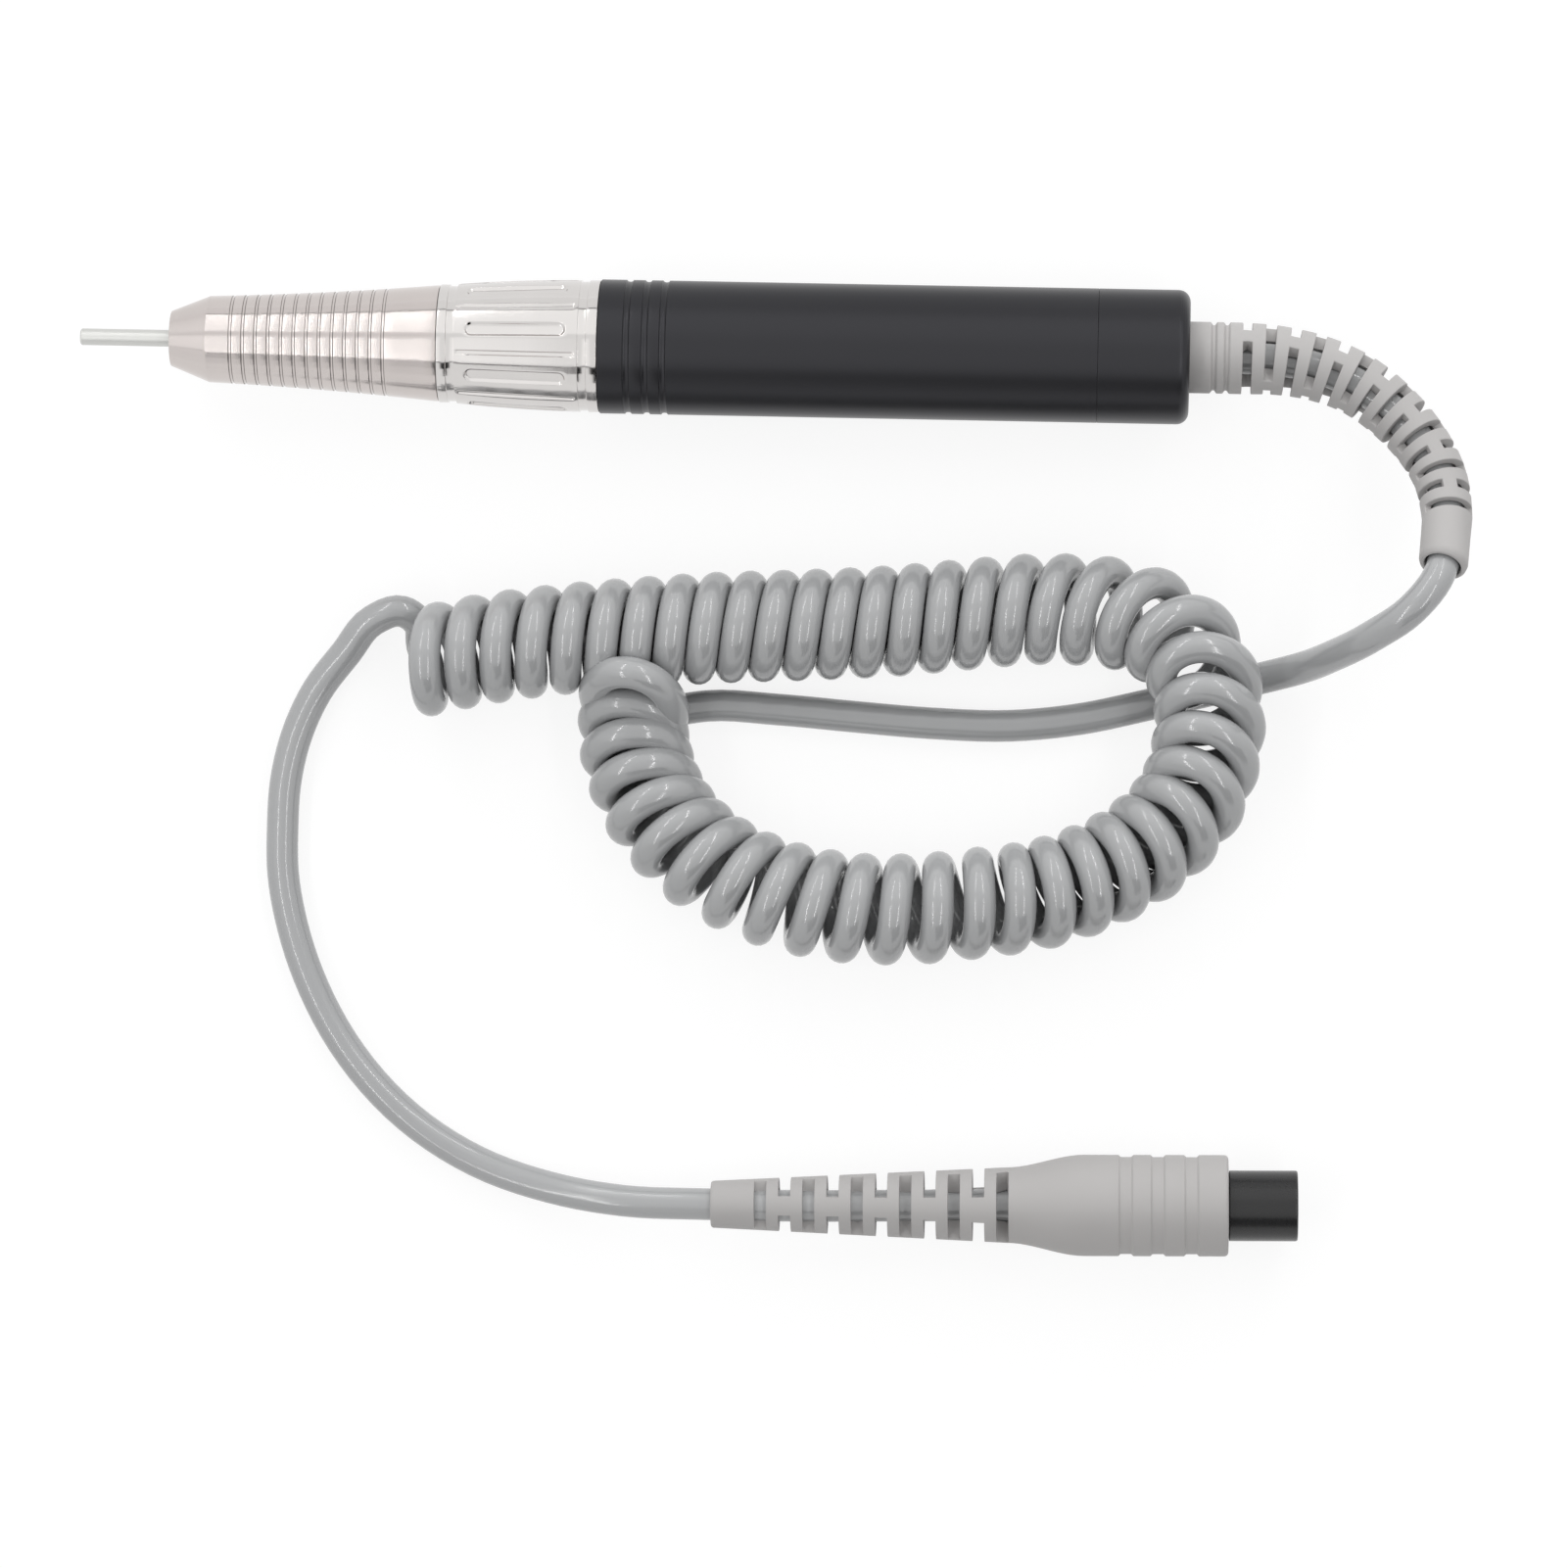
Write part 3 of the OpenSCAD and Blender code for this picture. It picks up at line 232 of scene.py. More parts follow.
def surface(
    name, colour, roughness, grain_mm, depth_mm, stretch=(1, 1, 1), shade=(0.97, 1.03),
    cloud_mm=6.0, sheet_mm=0.0, turned=0.0, axis="X", **shader,
):
    """A finish of one Principled shader, patterned in millimetres on the piece itself.

    A fine grain bumps the surface by depth_mm and moves its roughness between two values. Its
    stretch makes it rings or lines. Clouds, or sheets across the axis, shade the colour. A
    turned finish smears each reflection along the axis that it was turned about.
    """
    material, tree = new_material(name)
    place = add(tree, "ShaderNodeTexCoord").outputs["Object"]
    spread = add(
        tree, "ShaderNodeMapping", {"Vector": place, "Scale": [1 / s for s in stretch]},
    ).outputs["Vector"]
    if sheet_mm:
        cloud = grain = add(
            tree, "ShaderNodeTexWave",
            {"Vector": place, "Scale": WAVE_PERIOD / (sheet_mm * MM)},
            wave_type="BANDS", bands_direction=axis,
        ).outputs["Fac"]
    else:
        grain = add(
            tree, "ShaderNodeTexNoise",
            {"Vector": spread, "Scale": 1 / (grain_mm * MM), "Detail": 3.0},
        ).outputs["Fac"]
        cloud = add(
            tree, "ShaderNodeTexNoise", {"Vector": spread, "Scale": 1 / (cloud_mm * MM)},
        ).outputs["Fac"]
    shades = add(
        tree, "ShaderNodeMix",
        {0: cloud, 6: rgba(colour, shade[0]), 7: rgba(colour, shade[1])}, data_type="RGBA",
    ).outputs[2]
    polish = add(
        tree, "ShaderNodeMapRange",
        {"Value": grain, "To Min": roughness[0], "To Max": roughness[1]},
    ).outputs["Result"]
    relief = add(
        tree, "ShaderNodeBump", {"Height": grain, "Distance": depth_mm * MM},
    ).outputs["Normal"]
    inputs = {"Base Color": shades, "Roughness": polish, "Normal": relief}
    if turned:
        # The tangent runs round the axis, and a quarter turn of it lays the smear along
        tangent = add(tree, "ShaderNodeTangent", direction_type="RADIAL", axis=axis)
        inputs |= {
            "Anisotropic": turned, "Anisotropic Rotation": 0.25,
            "Tangent": tangent.outputs["Tangent"],
        }
    inputs |= {key.replace("_", " "): value for key, value in shader.items()}
    principled = add(tree, "ShaderNodeBsdfPrincipled", inputs)
    add(tree, "ShaderNodeOutputMaterial", {"Surface": principled.outputs["BSDF"]})
    return material


# Stretches a grain into rings about the handpiece's axis
RINGS = (1, 60, 60)


def satin_turned_aluminium():
    # Bare aluminium with a fine turned grain: soft bands of light run along the nose, and
    # dark lines between them stay sharp
    return surface(
        "satin_turned_aluminium", settings().colours.nose, (0.2, 0.22), 0.14, 0.0004, RINGS,
        turned=0.95, Metallic=1.0,
    )


def groove_shade_aluminium():
    # The steep walls of the fine grooves, painted darker as shade: they read as dark lines
    return surface(
        "groove_shade_aluminium", linear("857f7c"), (0.3, 0.4), 0.14, 0.0004, Metallic=1.0,
    )


def bright_turned_aluminium():
    # Aluminium turned with a sharp tool: clear, bright streaks with fine rings
    return surface(
        "bright_turned_aluminium", settings().colours.ring, (0.1, 0.16), 0.2, 0.002, RINGS,
        turned=0.7, Metallic=1.0,
    )


def plain_turned_aluminium():
    # Inner aluminium parts as they come off the lathe, a little duller
    return surface(
        "plain_turned_aluminium", linear("c4c3c1"), (0.3, 0.42), 0.3, 0.006, RINGS,
        shade=(0.95, 1.05), turned=0.6, Metallic=1.0,
    )


def black_anodised_aluminium():
    # Blasted, then dyed black: a matt skin with a fine grain and a soft sheen
    return surface(
        "black_anodised_aluminium", settings().colours.barrel, (0.4, 0.48),
        settings().sizes.grit / MM, 0.006, shade=(0.94, 1.06), cloud_mm=9,
    )


def ground_steel():
    # Hard steel ground between centres: bright, with very fine rings
    return surface(
        "ground_steel", settings().colours.steel, (0.12, 0.18), 0.12, 0.001, RINGS,
        turned=0.8, Metallic=1.0,
    )


def polished_bearing_steel():
    # Lapped bearing steel: nearly a mirror, with a faint haze
    return surface(
        "polished_bearing_steel", linear("cbcbcc"), (0.08, 0.14), 0.8, 0.001, Metallic=1.0,
    )


def drawn_spring_steel():
    # Drawn wire, oiled and blued: darker steel with lines along the wire
    return surface(
        "drawn_spring_steel", linear("8d8f94"), (0.22, 0.34), 0.2, 0.004, (1, 1, 4),
        shade=(0.85, 1.1), cloud_mm=0.3, Metallic=1.0,
    )


def nickel_plated_steel():
    # Pressed steel under bright nickel: smooth, slightly warm, with soft waves
    return surface(
        "nickel_plated_steel", linear("c6c2ba"), (0.2, 0.3), 2.5, 0.01,
        shade=(0.95, 1.05), Metallic=1.0,
    )


def laminated_core_steel():
    # Stacked 0.5 mm steel sheets: thin rings across the shaft with dark varnish between
    return surface(
        "laminated_core_steel", linear("77736c"), (0.55, 0.38), 0.5, 0.02,
        shade=(0.55, 1.1), sheet_mm=0.5, Metallic=0.9,
    )


def enamelled_copper_wire():
    # Wound 0.25 mm copper wire under clear varnish: warm lines with a wet shine
    return surface(
        "enamelled_copper_wire", linear("b4622c"), (0.4, 0.22), 0.25, 0.05,
        shade=(0.5, 1.15), sheet_mm=0.25, axis="Y", Metallic=0.7, Coat_Weight=0.5,
        Coat_Roughness=0.12,
    )


def worn_commutator_copper():
    # Turned copper rubbed by the brushes: pink with brown tracks
    return surface(
        "worn_commutator_copper", linear("c07a56"), (0.18, 0.4), 0.4, 0.006, (1, 30, 30),
        shade=(0.6, 1.1), cloud_mm=0.8, Metallic=1.0,
    )


def sintered_ferrite():
    # Pressed and fired ferrite: charcoal grey, dull and finely pitted
    return surface(
        "sintered_ferrite", linear("38383a"), (0.7, 0.88), 0.25, 0.03, shade=(0.7, 1.25),
        cloud_mm=0.5,
    )


def pressed_carbon():
    # Pressed graphite: near black with a greasy sheen
    return surface(
        "pressed_carbon", linear("1d1d1f"), (0.4, 0.6), 0.15, 0.01, shade=(0.7, 1.6),
        cloud_mm=0.4, Specular_IOR_Level=0.7,
    )


def stamped_brass():
    # Stamped brass: yellow metal with faint tarnish
    return surface(
        "stamped_brass", linear("c9a55c"), (0.36, 0.2), 1.2, 0.002, shade=(0.75, 1.08),
        cloud_mm=1.5, Metallic=1.0,
    )


def glass_filled_nylon():
    # Moulded nylon with glass fibres: ivory, with a slightly rough skin
    return surface("glass_filled_nylon", linear("d8d2c2"), (0.45, 0.55), 0.3, 0.01)


def nitrile_rubber():
    # Moulded rubber: black and dull
    return surface("nitrile_rubber", linear("1b1b1c"), (0.6, 0.72), 0.2, 0.01)


def red_wire_pvc():
    # Extruded PVC on a thin wire: smooth and slightly shiny
    return surface("red_wire_pvc", linear("b3261f"), (0.32, 0.38), 0.5, 0.004)


def black_wire_pvc():
    # The same wire in black
    return surface("black_wire_pvc", linear("1c1c1d"), (0.32, 0.38), 0.5, 0.004)


def soft_grey_elastomer():
    # Moulded soft elastomer: an even warm grey with a dry, blasted-mould skin
    return surface(
        "soft_grey_elastomer", settings().colours.boot, (0.5, 0.62),
        settings().sizes.grit / MM, 0.006, shade=(0.98, 1.02), Specular_IOR_Level=0.4,
    )


def extruded_grey_polyurethane():
    # Extruded polyurethane jacket: cool grey, wet-looking, with faint long waves
    return surface(
        "extruded_grey_polyurethane", settings().colours.cord, (0.13, 0.19), 2.2, 0.01,
        cloud_mm=14, Specular_IOR_Level=0.9,
    )


def glossy_black_phenolic():
    # Moulded from a polished tool: deep black with soft, broad highlights
    return surface(
        "glossy_black_phenolic", settings().colours.plug, (0.25, 0.31), 0.7, 0.006,
        shade=(0.95, 1.05),
    )


FINISH_OF_SLOT = {
    "nose_aluminium": satin_turned_aluminium,
    "ring_aluminium": bright_turned_aluminium,
    "black_anodised_aluminium": black_anodised_aluminium,
    "turned_aluminium": plain_turned_aluminium,
    "ground_steel": ground_steel,
    "bearing_steel": polished_bearing_steel,
    "spring_steel": drawn_spring_steel,
    "plated_steel": nickel_plated_steel,
    "core_steel": laminated_core_steel,
    "copper_wire": enamelled_copper_wire,
    "commutator_copper": worn_commutator_copper,
    "magnet_ferrite": sintered_ferrite,
    "brush_carbon": pressed_carbon,
    "contact_brass": stamped_brass,
    "bell_plastic": glass_filled_nylon,
    "seal_rubber": nitrile_rubber,
    "red_wire": red_wire_pvc,
    "black_wire": black_wire_pvc,
    "grey_boot_plastic": soft_grey_elastomer,
    "grey_cord_plastic": extruded_grey_polyurethane,
    "black_plug_plastic": glossy_black_phenolic,
}


def finish_for(slot):
    """The slot's material, made the first time that it is asked for."""
    maker = FINISH_OF_SLOT[slot]
    return bpy.data.materials.get(maker.__name__) or maker()


# Meshes


# Points nearer than this, in metres, are one
SAME_PLACE = 1e-7
# Edges that turn more than the first stay sharp in the shading, or than the second are rounded
SHARP_ANGLE = math.radians(40)
SOFTENED_ANGLE = math.radians(35)


def new_piece(name, maker, slot, replaced, body="handpiece"):
    """Makes an object from a bmesh, gives it its finish and puts it on its body."""
    mesh = bpy.data.meshes.new(name)
    bmesh.ops.remove_doubles(maker, verts=maker.verts, dist=SAME_PLACE)
    bmesh.ops.recalc_face_normals(maker, faces=maker.faces)
    maker.to_mesh(mesh)
    maker.free()
    mesh.polygons.foreach_set("use_smooth", [True] * len(mesh.polygons))
    mesh.set_sharp_from_angle(angle=SHARP_ANGLE)
    piece = bpy.data.objects.new(name, mesh)
    bpy.context.scene.collection.objects.link(piece)
    mesh.materials.append(finish_for(slot))
    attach(piece, body)
    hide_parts(*replaced)
    return piece


def even_normals(piece):
    """Keeps the broad faces' shading flat beside their narrow rounded edges."""
    modifier = piece.modifiers.new("even_normals", "WEIGHTED_NORMAL")
    modifier.keep_sharp = True
    return piece


def soften(piece, width):
    """Rounds the piece's sharp edges."""
    modifier = piece.modifiers.new("soften", "BEVEL")
    modifier.limit_method = "ANGLE"
    modifier.angle_limit = SOFTENED_ANGLE
    modifier.width = width
    modifier.segments = 2
    modifier.use_clamp_overlap = True
    return even_normals(piece)


def rounded(points, radius, steps=3, least_turn=math.radians(8), share=0.4):
    """A closed outline with each corner rounded, but none that turns less than least_turn.

    A rounding takes no more than its share of either side.
    """
    result = []
    for i, corner in enumerate(points):
        before = Vector(points[i - 1]) - Vector(corner)
        after = Vector(points[(i + 1) % len(points)]) - Vector(corner)
        turn = math.pi - before.angle(after, math.pi)
        if turn < least_turn:
            result.append(tuple(corner))
            continue
        cut = min(radius * math.tan(turn / 2), before.length * share, after.length * share)
        start = Vector(corner) + before.normalized() * cut
        end = Vector(corner) + after.normalized() * cut
        for k in range(steps + 1):
            t = k / steps
            result.append(tuple(
                start * (1 - t) ** 2 + Vector(corner) * 2 * t * (1 - t) + end * t ** 2
            ))
    return result


def round_over(end, radius, corner, steps):
    """The quarter round of an end's outer corner, in an outline of (distance, radius)."""
    angles = [math.radians(k * 90 / steps) for k in range(steps + 1)]
    return [
        (end - corner * (1 - math.sin(a)), radius - corner * (1 - math.cos(a))) for a in angles
    ]


def groove(start, radius, width, wall, depth):
    """A groove with sloped walls, in an outline of (distance, radius)."""
    return [
        (start, radius), (start + wall, radius - depth),
        (start + width - wall, radius - depth), (start + width, radius),
    ]


def on_axis(s, radius, angle):
    """A point at mm behind the nose, mm off the handpiece's axis and an angle from the top."""
    return Vector((
        NOSE_X + s * MM,
        radius * MM * math.sin(angle),
        AXIS_Z + radius * MM * math.cos(angle),
    ))


def join_loops(maker, loops):
    """Faces between each loop of points and the next."""
    for loop, following in zip(loops, loops[1:]):
        for k in range(len(loop)):
            maker.faces.new([loop[k - 1], loop[k], following[k], following[k - 1]])


def revolve(outline, place=on_axis, around=160, first_angle=0.0, closed=True):
    """A turned body from an outline of (distance, radius)."""
    maker = bmesh.new()
    rings = [
        [
            maker.verts.new(place(s, radius, first_angle + k * math.tau / around))
            for k in range(around)
        ]
        for s, radius in outline
    ]
    join_loops(maker, rings + rings[:1] if closed else rings)
    return maker


# Routes: the points that the frame's cord solids follow. The lead's last point and the tail's
# first four are moved by up to 1.2 mm, for a closer hook at each end of the curly part


def shifted(points, dx, dz=0.0):
    return [Vector((x + dx, y, z + dz)) for x, y, z in points]


relief_route = shifted([
    (-0.011, 0, 0), (0, 0, 0), (0.0065, 0, 0), (0.0125, -0.0002, 0), (0.018, -0.0012, 0),
    (0.0234, -0.0033, 0.0001), (0.0282, -0.0068, 0.0006), (0.0322, -0.0111, 0.0019),
    (0.035, -0.016, 0.0041), (0.036, -0.021, 0.0071), (0.0359, -0.026, 0.0104),
], REAR_X, AXIS_Z)
lead_route = shifted([
    (0.0346, -0.0307, 0.023), (0.0313, -0.0349, 0.023), (0.0263, -0.0385, 0.0195),
    (0.021, -0.0413, 0.0125), (0.0165, -0.0431, 0.006), (0.011, -0.0446, 0.0028),
    (0.004, -0.0464, 0.00225), (-0.005, -0.0487, 0.00225), (-0.014, -0.0508, 0.00225),
    (-0.024, -0.052, 0.00225), (-0.035, -0.0519, 0.00225), (-0.046, -0.0512, 0.00225),
    (-0.057, -0.0504, 0.00225), (-0.067, -0.0501, 0.00225), (-0.0728, -0.0512, 0.0025),
], REAR_X)
# The curly part, as (along, across, how far the turns lean forward in degrees, their lift)
coil_route = [
    (-0.0768, -0.0484, -45, 0), (-0.0768, -0.056, -38, 0), (-0.0735, -0.0645, -29, 0),
    (-0.067, -0.0713, -20, 0), (-0.058, -0.0758, -8, 0), (-0.048, -0.0779, 0, 0),
    (-0.038, -0.0781, 4, 0), (-0.028, -0.077, 9, 0), (-0.0183, -0.0753, 15, 0),
    (-0.0088, -0.0714, 22, 0.0004), (-0.0025, -0.0667, 29, 0.0016),
    (0.0015, -0.0615, 37, 0.0032), (0.0035, -0.0552, 43, 0.0044), (0.0038, -0.049, 48, 0.0048),
    (0.0024, -0.0435, 48, 0.0047), (-0.0008, -0.0396, 38, 0.0034), (-0.0054, -0.037, 28, 0.0019),
    (-0.0115, -0.0358, 17, 0.0008), (-0.02, -0.0356, 7, 0), (-0.029, -0.0364, 0, 0),
    (-0.041, -0.0377, 0, 0), (-0.053, -0.0385, 0, 0), (-0.065, -0.0391, 0, 0),
    (-0.077, -0.0401, 1, 0), (-0.088, -0.0413, 4, 0), (-0.098, -0.0428, 8, 0),
    (-0.108, -0.045, 10, 0),
]
tail_route = shifted([
    (-0.1079, -0.03935, 0.0039), (-0.1101, -0.0377, 0.005), (-0.1143, -0.039, 0.0048),
    (-0.1182, -0.0437, 0.0035), (-0.1222, -0.049, 0.0026), (-0.125, -0.0552, 0.00225),
    (-0.1265, -0.062, 0.00225), (-0.1268, -0.0685, 0.00225), (-0.1266, -0.075, 0.00225),
    (-0.1251, -0.0825, 0.00225), (-0.1219, -0.0912, 0.00225), (-0.1163, -0.1006, 0.00225),
    (-0.108, -0.1092, 0.00225), (-0.0982, -0.1152, 0.0024), (-0.0875, -0.1186, 0.0036),
    (-0.077, -0.1201, 0.0056),
], REAR_X)

# Where the plug's boot starts and which way the plug points, and its lengths in mm
PLUG_TURN = math.radians(1.2)
PLUG_START = Vector((REAR_X - 0.0646, -0.1202, 0.0071))
PLUG_AXIS = Vector((math.cos(PLUG_TURN), math.sin(PLUG_TURN), 0))
BOOT_L = 41.6
GRIP_L = 31.0
CORD_IN_PLUG = 43.6


def bezier_handles(points):
    """The left and right handle of each point, for one smooth curve through all of them."""
    handles = []
    for i, point in enumerate(points):
        before = point - points[max(i - 1, 0)]
        after = points[min(i + 1, len(points) - 1)] - point
        if i == 0:
            direction = after.normalized()
        elif i == len(points) - 1:
            direction = before.normalized()
        else:
            direction = (
                before.normalized() * after.length + after.normalized() * before.length
            ).normalized()
        handles.append((
            point - direction * before.length / 3, point + direction * after.length / 3,
        ))
    return handles


def bezier_walk(points, steps):
    """Points along the smooth curve through the given ones."""
    handles = bezier_handles(points)
    walk = []
    for i in range(len(points) - 1):
        a, b, c, d = points[i], handles[i][1], handles[i + 1][0], points[i + 1]
        for k in range(steps):
            t = k / steps
            walk.append(
                a * (1 - t) ** 3 + b * 3 * t * (1 - t) ** 2
                + c * 3 * t * t * (1 - t) + d * t ** 3
            )
    walk.append(points[-1])
    return walk


def spline_value(points, t):
    """The value at t from 0 to the last index, on a smooth line through tuples."""
    i = min(int(t), len(points) - 2)
    f = t - i
    a, b, c, d = (
        points[max(i - 1, 0)], points[i], points[i + 1], points[min(i + 2, len(points) - 1)],
    )
    return [
        0.5 * (
            2 * q + (r - p) * f + (2 * p - 5 * q + 4 * r - s) * f * f
            + (3 * q - p - 3 * r + s) * f ** 3
        )
        for p, q, r, s in zip(a, b, c, d)
    ]


# Steps between two places of the curly part's route, and points of the cord in each turn
COIL_STEPS = 40
POINTS_PER_TURN = 16
# Where round its turns the curly part starts and ends
FIRST_ANGLE = math.radians(90)
LAST_ANGLE = math.radians(115)
# How far the first turn's top lies back and up, over the side of the row beside it
FIRST_TURN_OVER = Vector((0, 0.0003, 0.005))
# How far the turns are twisted on the floor from square to the curly part's middle line, as
# (mm along the curly part, degrees)
TURN_TWIST = ((0, 0), (40, -1), (60, -3), (105, -3), (120, 1), (145, 5), (165, 4), (240, 4))
# How far apart the turns lie, as (mm along the curly part, mm from turn to turn)
TURN_PITCH = (
    (0, 3.25), (12, 4.35), (30, 5.35), (45, 5.35), (60, 5.8), (70, 5.35), (80, 4.95), (95, 5.2),
    (108, 5.1), (118, 6.15), (126, 6.75), (134, 6.35), (142, 5.35), (150, 5.4), (160, 4.75),
    (190, 4.65), (210, 4.85), (240, 5.1),
)


def table_value(table, distance):
    """A value of the curly part's turns, at a distance in metres along it."""
    for (u0, v0), (u1, v1) in zip(table, table[1:]):
        if distance <= u1 * MM:
            return v0 + (v1 - v0) * (distance / MM - u0) / (u1 - u0)
    return table[-1][1]


def coil_line():
    """Places along the curly part's middle line: point, direction, lean, turn angle, twist."""
    sizes = settings().sizes
    helix_r = (sizes.coil_diameter - sizes.cord_diameter) / 2
    count = (len(coil_route) - 1) * COIL_STEPS
    values = [spline_value(coil_route, k / COIL_STEPS) for k in range(count + 1)]
    flat = [Vector((v[0] + REAR_X, v[1], 0)) for v in values]
    ahead = [
        (flat[min(k + 1, count)] - flat[max(k - 1, 0)]).normalized() for k in range(count + 1)
    ]
    weights, twists, distance = [], [0.0], 0.0
    for here, following in zip(flat, flat[1:]):
        step = (following - here).length
        weights.append(step / (table_value(TURN_PITCH, distance + step / 2) * MM))
        distance += step
        twists.append(math.radians(table_value(TURN_TWIST, distance)))
    total = math.tau * sizes.coil_turns + LAST_ANGLE - FIRST_ANGLE
    scale = total / sum(weights)
    angle = FIRST_ANGLE
    line = []
    for k in range(count + 1):
        lean = math.radians(values[k][2])
        height = values[k][3] + helix_r * math.cos(lean) + sizes.cord_diameter / 2
        line.append((flat[k] + Vector((0, 0, height)), ahead[k], lean, angle, twists[k]))
        if k < count:
            angle += weights[k] * scale
    return line, helix_r


def coil_points():
    """The cord's middle line round the curly part, which winds to the left."""
    line, helix_r = coil_line()
    first, last = line[0][3], line[-1][3]
    count = int((last - first) / math.tau * POINTS_PER_TURN)
    points = []
    k = 0
    for n in range(count + 1):
        angle = first + (last - first) * n / count
        while k < len(line) - 2 and line[k + 1][3] < angle:
            k += 1
        part = (angle - line[k][3]) / (line[k + 1][3] - line[k][3])
        centre = line[k][0].lerp(line[k + 1][0], part)
        ahead = line[k][1].lerp(line[k + 1][1], part).normalized()
        lean = line[k][2] + (line[k + 1][2] - line[k][2]) * part
        twist = Matrix.Rotation(-line[k][4], 3, "Z")
        left = twist @ Vector((-ahead.y, ahead.x, 0))
        up = Vector((0, 0, math.cos(lean))) + ahead * math.sin(lean)
        over = FIRST_TURN_OVER * (1 - math.cos(min(angle - FIRST_ANGLE, math.tau))) / 2
        points.append(
            centre + over + (left * math.cos(angle) - up * math.sin(angle)) * helix_r
        )
    return points


# Boots: moulded sleeves with cross slots, which leave two webs each


def warp(delta, web, nominal, actual):
    """Moves a grid angle so that the grid line at nominal degrees off a web lands on its edge."""
    off = (delta - web + 90) % 180 - 90
    size = abs(off)
    if size <= nominal:
        new = size * actual / nominal
    else:
        new = actual + (size - nominal) * (90 - actual) / (90 - nominal)
    return delta + math.copysign(new - size, off)


def cross_slots(count, first, pitch, width, webs):
    """Evenly spaced slots as (start, end, web's grid angle), with two angles that take turns."""
    return [
        (first + k * pitch - width / 2, first + k * pitch + width / 2, webs[k % 2])
        for k in range(count)
    ]


def slotted_sleeve(outline, bore, slots, web_width, nominal, twist, place, around=120):
    """A sleeve from an outline of (distance, radius), with its cross slots.

    A web is web_width mm wide, drawn over nominal degrees of the grid to each side. The twist
    gives how far the whole grid is turned at a distance, in degrees.
    """
    def radius_at(u):
        for (u0, r0), (u1, r1) in zip(outline, outline[1:]):
            if u0 <= u <= u1:
                return r0 + (r1 - r0) * (u - u0) / max(u1 - u0, 1e-9)
        return outline[-1][1]

    stops = {round(u, 5) for u, _ in outline}
    stops |= {round(u, 5) for start, end, _ in slots for u in (start, end)}
    stops = sorted(stops)
    web_at = {round(u, 5): web for start, end, web in slots for u in (start, end)}
    maker = bmesh.new()
    outer, inner = [], []
    for u in stops:
        rows = ([], [])
        for row, radius in zip(rows, (radius_at(u), bore)):
            for k in range(around):
                delta = k * 360 / around
                if u in web_at:
                    actual = math.degrees(math.asin(web_width / 2 / radius))
                    delta = warp(delta, web_at[u], nominal, actual)
                row.append(maker.verts.new(place(u, radius, math.radians(twist(u) + delta))))
        outer.append(rows[0])
        inner.append(rows[1])

    def is_solid(i, k):
        if i < 0 or i >= len(stops) - 1:
            return False
        middle = (stops[i] + stops[i + 1]) / 2
        for start, end, web in slots:
            if start < middle < end:
                off = ((k + 0.5) * 360 / around - web + 90) % 180 - 90
                return abs(off) < nominal
        return True

    for i in range(len(stops)):
        for k in range(around):
            n = (k + 1) % around
            solid = is_solid(i, k)
            if solid:
                maker.faces.new([outer[i][k], outer[i][n], outer[i + 1][n], outer[i + 1][k]])
                maker.faces.new([inner[i][k], inner[i + 1][k], inner[i + 1][n], inner[i][n]])
            if solid != is_solid(i - 1, k):
                maker.faces.new([outer[i][k], outer[i][n], inner[i][n], inner[i][k]])
            if i < len(stops) - 1 and solid != is_solid(i, k - 1 if k else around - 1):
                maker.faces.new([outer[i][k], outer[i + 1][k], inner[i + 1][k], inner[i][k]])
    loose = [v for v in maker.verts if not v.link_faces]
    bmesh.ops.delete(maker, geom=loose, context="VERTS")
    return maker


def along(points):
    """A function that gives the place and direction at a distance in mm along points.

    The direction is taken over a few points on both sides, so that it turns smoothly.
    """
    sums = [0.0]
    for a, b in zip(points, points[1:]):
        sums.append(sums[-1] + (b - a).length / MM)

    def at(u):
        if u <= 0:
            direction = (points[1] - points[0]).normalized()
            return points[0] + direction * u * MM, direction
        k = next((i for i in range(len(sums) - 1) if sums[i + 1] >= u), len(sums) - 2)
        part = (u - sums[k]) / (sums[k + 1] - sums[k])
        low, high = max(k - 2, 0), min(k + 3, len(points) - 1)
        return points[k].lerp(points[k + 1], part), (points[high] - points[low]).normalized()

    return at


# Operators


class BuildStep:
    """What the operators of this add-on share."""

    bl_options = {"REGISTER", "UNDO"}

    @classmethod
    def poll(cls, context):
        return context.scene is not None


